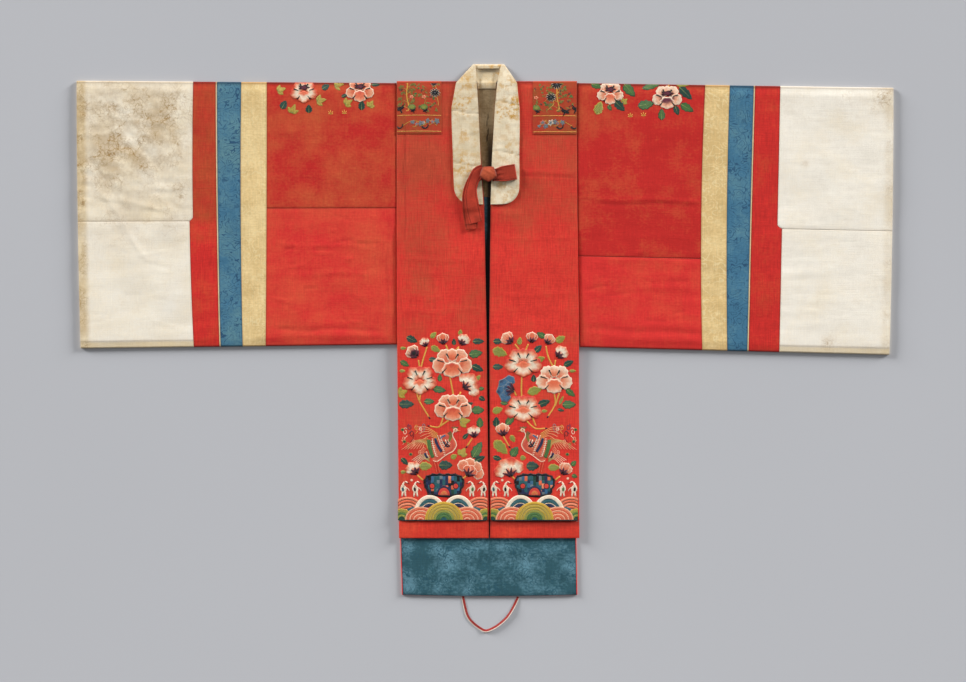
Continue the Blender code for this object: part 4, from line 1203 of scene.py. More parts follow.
class Stitches:
    """One panel's embroidery, drawn in millimetres from an origin, over the cloth's own height."""

    def __init__(self, origin, height_of, limits):
        self.origin, self.height_of, self.limits = np.array(origin), height_of, limits
        self.points, self.faces, self.colours, self.uv, self.count = [], [], [], [], 0

    def keep(self, local, high, colours, uv, faces):
        (x_low, x_high), (y_low, top_at) = self.limits
        x = np.clip(self.origin[0] + local[:, 0] * MM, x_low, x_high)
        y = np.clip(self.origin[1] + local[:, 1] * MM, y_low, top_at(x))
        self.points.append(np.stack([x, y, self.height_of(x, y) + high * MM], axis=1))
        self.colours.append(colours)
        self.uv.append(uv * MM)
        self.faces.extend(tuple(index + self.count for index in face) for face in faces)
        self.count += len(local)

    def satin(self, outline, rim, heart, middle=None, threads=0.0, rise=0.5, layer=0, shade=None):
        """A patch of satin stitch, from its rim's colour to its heart's."""
        outline = np.asarray(outline, float)
        turned = outline[:, 0] * np.roll(outline[:, 1], -1) - outline[:, 1] * np.roll(outline[:, 0], -1)
        if turned.sum() < 0:
            outline = outline[::-1]
        centre, n = outline.mean(axis=0), len(outline)
        rise *= PRESSED
        edge, heart = LINEAR[rim or heart], LINEAR[heart]
        middle = LINEAR[middle] if middle else (edge + heart) / 2
        levels = [edge, edge, middle, heart]
        local = np.concatenate([centre + (outline - centre) * scale for scale, _ in RINGS] + [[centre]])
        high = np.concatenate([np.full(n, up * (rise if up > 0 else 1)) for _, up in RINGS] + [[rise]])
        colours = np.concatenate([np.tile(colour, (n, 1)) for colour in levels] + [[heart]])
        if shade:
            colours = shade(local)
            if rim:
                colours[:2 * n] = edge
        way = math.radians(threads)
        uv = np.stack([local[:, 1] * math.cos(way) - local[:, 0] * math.sin(way),
                       local[:, 0] * math.cos(way) + local[:, 1] * math.sin(way)], axis=1)
        faces = [tuple(range(n))[::-1]]
        for ring in range(3):
            low, up = ring * n, ring * n + n
            faces += [(low + i, low + (i + 1) % n, up + (i + 1) % n, up + i) for i in range(n)]
        faces += [(3 * n + i, 3 * n + (i + 1) % n, 4 * n) for i in range(n)]
        self.keep(local, high + layer * LAYER, colours, uv, faces)

    def ridge(self, path, width, colour, end=None, rise=0.45, layer=0, taper=1.0):
        """A line of stitches along a smooth path; taper is the end's share of the width."""
        path = np.array(path, float)
        length = np.linalg.norm(np.diff(path, axis=0), axis=1).sum()
        n = max(3, min(MOST_STEPS, int(length / STITCH_STEP)))
        path = curve_through(path, n)
        right = to_the_right(path)
        share = np.linspace(0, 1, n)[:, None]
        rise *= PRESSED
        half = width / 2 * (1 + (taper - 1) * share)
        lanes = ((-1.0, -0.15), (-0.75, rise * 0.85), (0.0, rise), (0.75, rise * 0.85), (1.0, -0.15))
        local = np.concatenate([path + right * half * side for side, _ in lanes])
        high = np.concatenate([np.full(n, up) for _, up in lanes]) + layer * LAYER
        tint = LINEAR[colour] * (1 - share) + LINEAR[end or colour] * share
        run = share[:, 0] * length
        uv = np.concatenate([np.stack([run, 0 * run + side * width / 2], axis=1) for side, _ in lanes])
        faces = [tuple(lane * n for lane in range(4, -1, -1)), tuple(lane * n + n - 1 for lane in range(5))]
        for i in range(n - 1):
            faces += [(lane * n + i, lane * n + n + i, lane * n + n + i + 1, lane * n + i + 1) for lane in range(4)]
            faces.append((i, i + 1, 4 * n + i + 1, 4 * n + i))
        self.keep(local, high, np.tile(tint, (5, 1)), uv, faces)

    def finish(self, name, slot):
        mesh = bpy.data.meshes.new(name)
        mesh.from_pydata(np.concatenate(self.points).tolist(), [], self.faces)
        layer = mesh.color_attributes.new("thread", "FLOAT_COLOR", "POINT")
        data = np.ones((self.count, 4), np.float32)
        data[:, :3] = np.concatenate(self.colours)
        layer.data.foreach_set("color", data.ravel())
        corners = np.empty(len(mesh.loops), np.int32)
        mesh.loops.foreach_get("vertex_index", corners)
        stitch = mesh.uv_layers.new(name="stitch")
        stitch.data.foreach_set("uv", np.concatenate(self.uv).astype(np.float32)[corners].ravel())
        mesh.polygons.foreach_set("use_smooth", np.ones(len(mesh.polygons), bool))
        mesh.materials.append(thread.material)
        obj = bpy.data.objects.new(name, mesh)
        bpy.context.scene.collection.objects.link(obj)
        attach(obj, "root")
        print(f"{name}: {sum(len(face) - 2 for face in self.faces)} triangles")


# %% Outlines
def step(point, degrees, reach):
    """The place at this reach from a point, in the direction of an angle."""
    way = math.radians(degrees)
    return point[0] + math.cos(way) * reach, point[1] + math.sin(way) * reach


def turned(x, y, px, py, degrees):
    """Points (px, py) turned by degrees and moved to (x, y)."""
    cos, sin = math.cos(math.radians(degrees)), math.sin(math.radians(degrees))
    return np.stack([x + px * cos - py * sin, y + px * sin + py * cos], axis=1)


def lobed(x, y, wide, tall, turn=0.0, lobes=0, depth=0.0, count=20):
    """An ellipse with a lobed edge, turned by degrees."""
    t = np.linspace(0, 2 * math.pi, count, endpoint=False)
    reach = 1 + depth * np.cos(lobes * t)
    return turned(x, y, wide / 2 * np.cos(t) * reach, tall / 2 * np.sin(t) * reach, turn)


TOOTH = 0.30  # how far the notches of a leaf go in


def pointed(x, y, long, wide, turn):
    """A leaf's outline: a sharp tip, and three teeth on each side that point towards it."""
    s = np.concatenate([np.linspace(0, 1, 15), np.linspace(1, 0, 15)[1:-1]])
    side = np.concatenate([np.ones(15), -np.ones(13)])
    px = (s - 0.5) * long
    notch = 1 - TOOTH * np.mod(s * 3.6 + 0.25, 1.0) * (s > 0.12) * (s < 0.94)
    py = side * wide * 1.52 * s**0.62 * (1 - s) ** 0.92 * notch
    return turned(x, y, px, py, turn)


def block(x, y, wide, tall):
    """An upright block with its corners taken off."""
    corner = [(-0.5, -0.4), (-0.4, -0.5), (0.4, -0.5), (0.5, -0.4), (0.5, 0.4), (0.4, 0.5), (-0.4, 0.5), (-0.5, 0.4)]
    return [(x + a * wide, y + b * tall) for a, b in corner]


print("outlines ready")

# %% [markdown]
# A peony faces the viewer with five or six petals, each a lobed round with a pale rim, and short dark stitches
# where two petals meet. A second kind shades from a white middle out to the red of the ground.

# %% Peonies, buds, leaves and stems
PETALS = (  # place, size and turn in shares of the flower's half width and half height; the front petal is last
    (-0.38, 0.52, 0.92, 0.82, 122), (0.40, 0.52, 0.92, 0.82, 58), (0.0, 0.62, 0.80, 0.62, 90),
    (-0.66, -0.14, 0.86, 0.84, 192), (0.66, -0.14, 0.86, 0.84, -12), (0.0, -0.44, 0.96, 1.06, -90),
)
NICKS = ((-0.30, 0.74, -0.16, 0.40), (0.32, 0.72, 0.18, 0.40), (-0.78, 0.26, -0.42, 0.12), (0.78, 0.26, 0.42, 0.14),
         (-0.52, -0.66, -0.30, -0.34), (0.52, -0.66, 0.30, -0.34))
STYLES = {  # rim, the colours from the flower's middle outwards, the number of a petal's lobes and their depth
    "coral": ("cream", ("deep_coral", "coral", "coral", "peach", "blush"), 8, 0.06),
    "pink": ("cream", ("coral", "coral", "peach", "blush", "cream"), 9, 0.08),
    "plum": ("cream", ("plum", "plum", "blush", "cream"), 7, 0.06),
    "blue": ("grey_blue", ("navy", "navy", "blue", "blue", "navy"), 6, 0.07),
    "white": (None, ("coral", "peach", "white", "white", "blush", "coral", "ground"), 6, 0.08),
}


def shading(style, x, y, wide, tall):
    """Colours by distance from a flower's middle, a little uneven from thread to thread."""
    rows = np.array([LINEAR[name] for name in STYLES[style][1]])
    stops = np.linspace(0.12, 1.02 if style == "white" else 0.92, len(rows))

    def shade(local):
        dx, dy = (local[:, 0] - x) / wide * 2, (local[:, 1] - y) / tall * 2
        angle = np.arctan2(dy, dx)
        far = np.hypot(dx, dy) + 0.04 * np.sin(angle * 7 + x) + 0.05 * np.sin(angle * 17 + y)
        if style == "white":  # five petals, so the red comes further in between them
            far = far * (1 + 0.14 * (1 - np.cos(5 * (angle + math.pi / 2)))) - 0.04
        return np.stack([np.interp(far, stops, rows[:, k]) for k in range(3)], axis=1)

    return shade


def petal(work, x, y, wide, tall, turn, style, layer, shade):
    rim, _, lobes, depth = STYLES[style]
    work.satin(lobed(x, y, wide, tall, turn, lobes, depth, 32), rim, "coral", threads=turn, rise=0.7, layer=layer,
               shade=shade)


def peony(work, x, y, wide, tall, style):
    spread = 1.12 if style == "white" else 1.0
    shade = shading(style, x, y, wide * spread, tall * spread)

    def place(a, b):
        return x + a * wide / 2, y + b * tall / 2

    size = (wide + tall) / 4
    for index, (a, b, long, broad, angle) in enumerate(PETALS):
        stretch = wide / tall if angle % 180 in (10, 170) else 1.0
        petal(work, *place(a, b), long * size * stretch**0.5, broad * size * (wide / tall) ** 0.5, angle, style,
              1 + index * 2 - (index > 2), shade)
    for a, b, c, d in NICKS:
        work.ridge([place(a, b), place(c, d)], 3.6, "dark", "dark_green", rise=0.8, layer=13, taper=0.45)


def calyx(work, base, turn, angles, long, wide, layer, taper):
    """Dark sepals that fan out from the foot of a flower."""
    for angle in angles:
        work.ridge([base, step(base, turn + angle, long)], wide, "dark", "plum", rise=0.7, layer=layer, taper=taper)


def half_peony(work, x, y, size, turn, style):
    """A peony seen from the side: a fan of petals, a smaller row before it and a dark calyx."""
    base = step((x, y), turn, -size * 0.2)
    shade = shading(style, *base, size * 2.9, size * 2.9)
    fan = [(0.74, 0.92, angle) for angle in (-66, -23, 23, 66)] + [(0.36, 0.66, angle) for angle in (-50, 0, 50)]
    for index, (reach, wide, angle) in enumerate(fan):
        petal(work, *step((x, y), turn + angle, size * reach), size * wide * 0.95, size * wide, turn + angle, style,
              1 + index, shade)
    calyx(work, base, turn, (-60, -20, 20, 60), size * 0.60, size * 0.30, 11, 0.25)


def bud(work, x, y, size, turn, style):
    base = step((x, y), turn, -size * 0.30)
    shade = shading(style, *base, size * 2.4, size * 2.4)
    for index, angle in enumerate((-50, 50, 0)):
        petal(work, *step((x, y), turn + angle, size * 0.28), size * 0.80, size * 0.68, turn + angle, style,
              1 + index * 2, shade)
    calyx(work, base, turn, (-66, -22, 22, 66), size * 0.46, size * 0.36, 8, 0.3)
    if style == "plum":
        work.satin(lobed(x, y, size * 0.52, size * 0.60, turn, 5, 0.1), "plum", "dark", layer=11)


DARK, GREEN, OLIVE, LOBED = "dark_green", "green", "olive", "lobed"


def leaf(work, x, y, turn, long, wide, kind):
    rims = {"dark_green": "dark_green", "green": "dark_green", "olive": "mustard", "lobed": "olive"}
    body = "mustard" if kind == LOBED else kind
    long, wide = long * 1.22, wide * 1.14
    parts = [(0.0, 1.0, 1.0)] if kind != LOBED else [(-50, 0.62, 0.50), (50, 0.62, 0.50), (0, 0.80, 0.56)]
    base = step((x, y), turn, -long / 2)
    for index, (aside, reach, broad) in enumerate(parts):
        out, half = turn + aside, long * reach / 2
        outline = pointed(*step(base, out, half), long * reach, wide * broad, out)
        work.satin(outline, rims[kind], body, body, threads=turn + 60, layer=index)
        work.ridge([base, step(base, out, half * 1.7)], 1.3, "vein", body, rise=0.8, layer=index + 1, taper=0.6)


def stem(work, path, tip=False):
    work.ridge(path, 3.4, "gold", rise=0.6, taper=1.15 if not tip else 1.0)
    if tip:
        (ax, ay), (bx, by) = path[-2], path[-1]
        far = math.hypot(bx - ax, by - ay)
        end = (bx + (bx - ax) / far * 5, by + (by - ay) / far * 5)
        work.ridge([path[-1], end], 4.0, "plum", "dark", rise=0.6, layer=1, taper=0.7)


print("flowers ready")

# %% [markdown]
# The phoenix is drawn once, from its belly line, its banded wing and three fans of long feathers, and turned over
# for the other front. The rock is a mosaic of short blocks in a black scalloped outline, with two red hollows.
# Cranes stand at its sides, and the waves are rings of colour cut off at the hem.

# %% Phoenix
BELLY = [(32, 31), (28, 25), (29, 18), (35, 7), (36, -2), (29, -13), (18, -19), (9, -25), (0, -32), (-7, -36),
         (-15, -34)]
WING_BARS = [  # from, to, width, colour
    ((-25, 12), (-15, -27), 8.5, "green"), ((-17, 15), (-8, -25), 1.4, "cream"), ((-14, 15), (-3, -22), 2.4, "coral"),
    ((-11, 15), (4, -15), 7.0, "navy"), ((-5, 22), (9, -12), 1.4, "cream"), ((-2, 22), (12, -10), 2.2, "coral"),
    ((1, 22), (13, -6), 1.4, "white"), ((1, 14), (12, 22), 4.4, "blue"), ((8, 8), (17, -4), 3.2, "dark"),
    ((12, 12), (21, 1), 2.4, "white"), ((15, 10), (22, -3), 2.6, "dark"), ((18, 13), (23, 3), 1.4, "cream"),
    ((-33, -17), (-27, -28), 4.6, "navy"), ((-29, -14), (-23, -28), 1.4, "cream"),
]
FANS = [  # the root, the tip of the first and last feather, how many, colours
    ((-5, 25), (-56, 40), (-38, 12), 5, "gold", "blush"), ((-26, 14), (-84, -10), (-38, -8), 8, "mustard", "blush"),
    ((-22, -24), (-62, -33), (-46, -40), 5, "olive", "cream"), ((-30, -8), (-45, -18), (-38, -26), 4, "coral", "blush"),
]
CURLS = [  # centre, size, turn, colour
    ((-76, 30), 9, 40, "cream"), ((-80, 14), 7, 200, "blush"), ((-66, 40), 8, 120, "navy"), ((-62, 24), 9, 300, "dark"),
    ((-52, 38), 7, 20, "gold"), ((-42, 36), 6, 150, "cream"), ((-44, -17), 6, 60, "blush"), ((-58, 8), 6, 220, "blush"),
    ((-36, 42), 7, 260, "grey_blue"), ((-70, 2), 5, 330, "olive"),
]


def facing(work, x, y, face):
    """Satin and ridge for points that are given from (x, y), and turned over where face is -1."""
    def at(points):
        return [(x + face * a, y + b) for a, b in points]

    def satin(points, *colours, **settings):
        work.satin(at(points), *colours, **settings)

    def ridge(points, *width_and_colours, **settings):
        work.ridge(at(points), *width_and_colours, **settings)

    return satin, ridge


def phoenix(work, x, y, face):
    satin, ridge = facing(work, x, y, face)

    body = BELLY[1:] + [(-18, -24), (-12, 2), (2, 22), (16, 26)]
    body = curve_through(body + body[:1], 40)[:-1]
    satin(body, "coral", "coral", "deep_coral", threads=40, rise=0.5, layer=1)
    ridge(BELLY, 2.0, "cream", rise=0.8, layer=2)
    ridge([(20, 29), (24, 20), (20, 8)], 10, "brown", "olive", rise=0.5, layer=3, taper=0.6)
    for (ax, ay), (bx, by), width, colour in WING_BARS:
        middle = ((ax + bx) / 2 - 1.5, (ay + by) / 2)
        ridge([(ax, ay), middle, (bx, by)], width, colour, rise=0.6, layer=4)
    for index in range(8):  # short feathers like a comb between the green bar and the navy one
        top = (-20 + index * 1.4, 9 - index * 4.6)
        ridge([top, (top[0] + 6, top[1] - 1.5)], 1.3, "cream", rise=0.6, layer=5)
        ridge([(top[0] + 19, top[1] + 3), (top[0] + 24, top[1] + 1)], 1.2, "cream", rise=0.6, layer=7)
    for cx, cy in ((10, 5), (15, 2), (12, -2), (17, 6), (18, -3)):  # a few black checks on the shoulder
        satin(block(cx, cy, 3.0, 3.6), "dark", "navy", layer=8)
    for root, first, last, count, base, tip in FANS:
        for index in range(count):
            share = index / (count - 1)
            end = tuple(a + (b - a) * share for a, b in zip(first, last))
            middle = ((root[0] + end[0]) / 2, (root[1] + end[1]) / 2 + 7 - 5 * share)
            start = (root[0], root[1] - 3.2 * index)
            ridge([start, middle, end], 1.7, base, tip, rise=0.45, layer=2, taper=0.6)
    for (cx, cy), size, turn, colour in CURLS:
        spiral = []
        for step in range(12):
            angle, reach = math.radians(turn + step * 38), size * (1 - step / 16)
            spiral.append((cx + math.cos(angle) * reach * 0.6, cy + math.sin(angle) * reach))
        ridge(spiral, 1.4, colour, rise=0.4, layer=1)
        ridge([(cx + size * 0.5, cy - size), (cx - size * 0.3, cy - size * 1.9)], 1.2, colour, rise=0.4)
    for cx, cy in ((-78, 8), (-64, -20), (-82, 34)):
        satin(lobed(cx, cy, 8, 7), "olive", "dark_green", layer=1)
    satin(lobed(34, 33, 10, 9, 20), "cream", "blush", layer=5, rise=0.7)
    satin(lobed(35, 34, 2.4, 2.4), "dark", "dark", layer=9, rise=0.6)
    ridge([(38, 33), (46, 30)], 3.0, "gold", "deep_coral", rise=0.6, layer=5, taper=0.3)
    for top in ((40, 40), (33, 42), (26, 40)):
        ridge([(33, 36), top], 3.0, "olive", "dark_green", rise=0.6, layer=4, taper=0.7)
    for dx in (0, 6):
        ridge([(-13 + dx, -34), (-9 + dx, -48), (-7 + dx, -60)], 1.2, "coral", rise=0.5, layer=8)


# %% Rock, cranes and waves
ROCK = [(-43, 3), (-40, 14), (-30, 20), (-15, 22), (0, 21), (15, 22), (30, 20), (40, 14), (43, 3), (38, -11), (27, -24),
        (-27, -24), (-38, -11)]
BLOCKS = ["navy", "teal", "blue", "coral", "teal", "navy", "peach", "teal", "dark_green", "navy", "grey_blue", "dark"]


def rock(work, x, y, seed):
    draw = np.random.default_rng(seed)
    outline = curve_through([(x + a, y + b) for a, b in ROCK + ROCK[:1]], 60)[:-1]
    work.satin(outline, "navy", "navy", rise=0.3)
    for column in range(-6, 7):
        a, top = column * 6.3, 19.0 - abs(column) * 0.3
        foot = -22.0 if abs(a) < 28 else -22.0 + (abs(a) - 28) * 1.4
        while top > foot + 3:
            tall = min(draw.uniform(7, 14), top - foot)
            colour = BLOCKS[int(draw.integers(len(BLOCKS)))]
            work.satin(block(x + a, y + top - tall / 2, 6.5, tall + 0.3), colour, colour, threads=90, layer=2, rise=0.5)
            top -= tall
    rim = [(px + 1.0 * math.cos(k * 1.3), py + 1.6 * math.sin(k * 1.3)) for k, (px, py) in enumerate(outline)]
    work.ridge([tuple(p) for p in rim] + [tuple(rim[0])], 4.4, "dark", rise=0.9, layer=6)
    for px, py in outline[::3]:
        work.satin(lobed(px, py, 5.0, 4.0, count=8), "dark", "dark", layer=7, rise=0.4)
    for a in (-26, 26):
        work.satin(lobed(x + a, y - 4, 13, 14, 0, 5, 0.05), "dark", "dark", layer=5)
        work.satin(lobed(x + a, y - 4, 10.5, 11), "ground", "ground", layer=7)
    for wide, colour in ((34, "navy"), (29, "dark"), (27, "ground"), (17, "coral")):
        arch = [(x + wide / 2 * math.cos(t), y - 24 + wide * 0.62 * math.sin(t)) for t in np.linspace(0, math.pi, 15)]
        work.satin(arch, colour, colour, layer=7 + (34 - wide) / 5, rise=0.4)
    work.ridge([(x - 5, y - 22), (x, y - 16), (x + 5, y - 22)], 1.2, "gold", layer=13)


def crane(work, x, y, face, wing):
    satin, ridge = facing(work, x, y, face)
    for leg in (-4, 4):
        ridge([(leg * 0.6, -4), (leg, -16)], 4.0, "white", rise=0.5, layer=1, taper=0.8)
    satin(lobed(-1, 1, 13, 19, 12, 4, 0.06), "white", "cream", layer=2, rise=0.7)
    ridge([(0, 6), (-2, 12), (4, 17), (8, 14)], 4.4, "white", rise=0.7, layer=3, taper=0.5)
    ridge([(7, 14), (13, 12)], 1.6, "dark", rise=0.5, layer=3, taper=0.4)
    satin(lobed(-2, 0, 5.5, 10, 8), wing, wing, layer=6, rise=0.4)
    satin(lobed(2, 16, 2.4, 2.4), "deep_coral", "deep_coral", layer=7, rise=0.4)
    ridge([(5, 4), (10, 1), (12, -4)], 1.5, "cream", rise=0.4, layer=3)


def mound(work, x, top, half, bands, layer, foot=0.0, fill=1.06):
    """Nested arches of a wave over a flat pad; fill below 1 lets the pad show as thin lines between them."""
    size = (half + top - foot) / 2

    def arch(share, count):
        turns = np.linspace(0, math.pi, count)
        return np.stack([x + half * share * np.cos(turns), foot + (top - foot) * share * np.sin(turns) ** 0.92], axis=1)

    work.satin(arch(0.99, 25), bands[-1][1], bands[-1][1], threads=90, rise=0.28, layer=layer)
    inner = [share for share, _ in bands[1:]]
    for (outer, colour), inside in zip(bands[:-1], inner):
        work.ridge(arch((outer + inside) / 2, 17), (outer - inside) * size * fill, colour, rise=0.3, layer=layer + 4)


def ringed(first, second, count, line="brown"):
    """Bands of two colours in turn over a darker pad."""
    return [(1 - index * 0.88 / count, first if index % 2 == 0 else second) for index in range(count)] + [(0.12, line)]


def waves_at_hem(work, half):
    for sign in (-1, 1):
        mound(work, sign * half * 0.86, 52, 44, ringed("peach", "coral", 7), 0, fill=0.84)
        mound(work, sign * 70, 30, 17, [(1.0, "teal"), (0.6, "navy"), (0.3, "navy")], 5)
        mound(work, sign * 31, 56, 36, [(1.0, "white"), (0.82, "teal"), (0.66, "cream"), (0.63, "navy"),
                                        (0.48, "coral"), (0.45, "dark")], 10, foot=4)
        mound(work, sign * half, 26, 24, [(1.0, "mustard"), (0.84, "olive"), (0.66, "green"), (0.5, "olive"),
                                          (0.32, "dark_green")], 18)
        mound(work, sign * 51, 30, 35, ringed("blush", "coral", 7, "deep_coral"), 24, fill=0.84)
    mound(work, 0, 41, 42, [(1.0, "ochre"), (0.84, "mustard"), (0.68, "mustard"), (0.54, "olive"), (0.42, "green"),
                            (0.30, "green"), (0.16, "teal")], 32, fill=0.98)
    work.ridge([(-half, 0), (0, 0), (half, 0)], 2.4, "dark", rise=0.9, layer=42)


print("motifs ready")

# %% [markdown]
# Each front's field is laid out from its own table, in millimetres from the middle of the panel's hem seam.

# %% The fields of the two fronts
HALF_FIELD = 93
FIELD = {"right": (-0.0902, -0.4169), "left": (0.1089, -0.4169)}
LEAVES = {
    "right": [
        (-70, 397, -25, 22, 15, DARK), (-23, 407, 45, 15, 11, OLIVE), (36, 413, 80, 11, 9, OLIVE),
        (22, 392, 90, 13, 9, DARK), (76, 393, 0, 22, 13, DARK), (-18, 376, -30, 20, 13, OLIVE),
        (-89, 378, 0, 11, 7, OLIVE), (-24, 353, 0, 15, 11, DARK), (-86, 344, -30, 19, 12, GREEN),
        (70, 366, 10, 26, 18, GREEN), (-91, 328, 0, 11, 7, OLIVE), (74, 334, -25, 24, 15, DARK),
        (-9, 313, 90, 14, 10, GREEN), (75, 313, 50, 13, 9, OLIVE), (-10, 287, -10, 26, 15, GREEN),
        (83, 289, 0, 10, 9, GREEN), (-87, 282, 20, 22, 20, LOBED), (84, 267, -30, 13, 11, DARK),
        (-82, 255, 0, 29, 18, DARK), (-32, 261, 0, 20, 13, GREEN), (56, 255, 20, 15, 9, DARK),
        (75, 242, 0, 24, 18, GREEN), (50, 218, 10, 24, 22, LOBED), (79, 215, 90, 20, 15, GREEN),
        (48, 185, 45, 15, 9, DARK), (43, 153, 60, 20, 20, LOBED), (73, 155, 60, 35, 20, GREEN),
        (79, 135, 25, 22, 13, DARK), (22, 140, 30, 13, 11, OLIVE), (4, 121, 0, 26, 20, DARK),
        (-86, 129, -45, 18, 11, DARK), (-40, 119, 0, 24, 18, OLIVE), (-89, 106, 0, 10, 8, OLIVE),
    ],
    "left": [
        (-80, 393, 0, 18, 13, DARK), (-33, 394, 80, 15, 11, OLIVE), (14, 407, 150, 18, 13, GREEN),
        (8, 377, 45, 18, 13, DARK), (57, 398, 30, 20, 15, OLIVE), (-76, 369, -20, 29, 20, OLIVE),
        (13, 354, 20, 18, 13, OLIVE), (-80, 337, 0, 20, 13, DARK), (75, 345, 25, 20, 13, DARK),
        (84, 328, 0, 13, 7, OLIVE), (-2, 312, 90, 14, 11, DARK), (1, 285, 20, 29, 18, OLIVE),
        (79, 280, -40, 22, 13, GREEN), (-66, 257, -10, 15, 9, GREEN), (21, 258, 20, 24, 15, DARK),
        (59, 264, 65, 18, 6, OLIVE), (76, 254, 0, 26, 18, GREEN), (-81, 242, 20, 20, 15, OLIVE),
        (58, 242, -15, 13, 7, DARK), (22, 240, 0, 11, 7, OLIVE), (-84, 216, 90, 20, 15, DARK),
        (-53, 221, 50, 26, 15, GREEN), (-48, 179, -60, 15, 11, OLIVE), (-74, 160, -45, 35, 22, OLIVE),
        (-44, 151, 55, 22, 18, GREEN), (-81, 136, -20, 18, 11, DARK), (-25, 137, 0, 11, 11, OLIVE),
        (-4, 119, 0, 24, 20, DARK), (43, 116, 0, 22, 15, OLIVE), (86, 125, 45, 13, 11, GREEN),
        (88, 97, -20, 11, 9, GREEN),
    ],
}
STEMS = {  # paths, and whether the end is a dark cut tip
    "right": [
        ([(-37, 381), (-44, 359), (-51, 334)], False), ([(-56, 352), (-53, 334)], False),
        ([(4, 385), (11, 370)], False), ([(33, 381), (26, 374)], False),
        ([(13, 315), (18, 290), (21, 273)], False), ([(37, 282), (33, 273)], False),
        ([(-59, 279), (-54, 262), (-33, 227)], True), ([(-51, 282), (-54, 262)], False),
        ([(-2, 224), (-11, 205), (-31, 207)], True), ([(11, 220), (-8, 207)], False), ([(62, 180), (51, 163)], True),
        ([(-58, 99), (-46, 88)], False), ([(50, 99), (40, 90)], False),
    ],
    "left": [
        ([(-43, 387), (-32, 372)], False), ([(-14, 387), (-21, 370)], False),
        ([(25, 383), (30, 359), (41, 337)], False), ([(46, 352), (43, 334)], False),
        ([(-28, 317), (-29, 290), (-28, 268)], False), ([(-45, 284), (-40, 273)], False),
        ([(43, 279), (45, 255), (30, 229)], True), ([(54, 279), (45, 251)], False),
        ([(-19, 220), (1, 202), (23, 202)], True), ([(-6, 229), (3, 207)], False), ([(-69, 185), (-56, 163)], True),
        ([(-52, 99), (-43, 90)], False), ([(56, 97), (45, 88)], False),
    ],
}
FLOWERS = {
    "right": [(18, 344, 84, 60, "coral"), (-53, 306, 70, 62, "white"), (20, 246, 80, 54, "coral")],
    "left": [(-25, 345, 78, 60, "white"), (43, 308, 76, 60, "pink"), (-25, 244, 78, 54, "white")],
}
HALVES = {  # place, size, turn, style
    "right": [(49, 294, 27, 35, "white"), (55, 104, 28, 62, "coral")],
    "left": [(-52, 287, 27, 165, "blue"), (-54, 104, 30, 104, "white")],
}
BUDS = {
    "right": [(-42, 389, 19, 110, "white"), (-2, 396, 23, 95, "coral"), (42, 394, 24, 60, "white"),
              (-66, 367, 27, 135, "plum"), (-66, 111, 28, 125, "white"), (66, 192, 24, 95, "white")],
    "left": [(-57, 397, 26, 135, "pink"), (-6, 399, 22, 85, "coral"), (31, 395, 22, 60, "pink"),
             (57, 366, 27, 50, "white"), (-70, 196, 26, 95, "pink"), (66, 110, 26, 60, "pink")],
}

for side, face in (("right", 1), ("left", -1)):
    (x_low, y_low, _), (x_high, y_high, _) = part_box(f"front_{side}")
    margin = 0.003
    origin = FIELD[side]
    limits = ((x_low + margin, x_high - margin), (y_low - 0.001, lambda x, high=y_high: high))
    work = Stitches(origin, lambda x, y, s=side: front_height(s, x, y), limits)
    for path, cut in STEMS[side]:
        stem(work, path, tip=cut)
    for row in LEAVES[side]:
        leaf(work, *row)
    for x, y, wide, tall, style in FLOWERS[side]:
        peony(work, x, y, wide, tall, style)
    for x, y, size, turn, style in HALVES[side]:
        half_peony(work, x, y, size, turn, style)
    for x, y, size, turn, style in BUDS[side]:
        bud(work, x, y, size, turn, style)
    waves_at_hem(work, HALF_FIELD)
    rock(work, 0, 79, 5 if side == "right" else 8)
    phoenix(work, -9 if side == "right" else 8, 165, face)
    for index, x in enumerate((-88, -62, 61, 86)):
        crane(work, x, 68, 1 if x < 0 else -1, ("teal", "dark", "green", "dark")[index])
    for x, y in ((-71, 88), (73, 92)):
        work.satin(lobed(x, y, 6, 6), "blush", "cream")
    work.finish(f"embroidery_front_{side}", "red_silk")

# %% [markdown]
# The sprays over the shoulders were cut by the fold, so their tops stop at it. Two small sprigs of gold thread sit
# below each spray.

# %% Shoulder sprays
def sleeve_height(side, x, y):
    fold, lower = folds_at(SLEEVES[side], np.abs(x))
    free = smooth_step(fold - y, FOLD, 0.022) * smooth_step(y - lower, FOLD, 0.020)
    past = np.clip((y - fold + FOLD) / FOLD, 0.0, 0.98)
    turned = SLEEVE_LEVEL - FOLD * (1 - np.sqrt(1 - past**2))
    return turned + np.maximum(sleeve_relief(side, x, y, (fold - y) / (fold - lower)) * free, -0.0003)


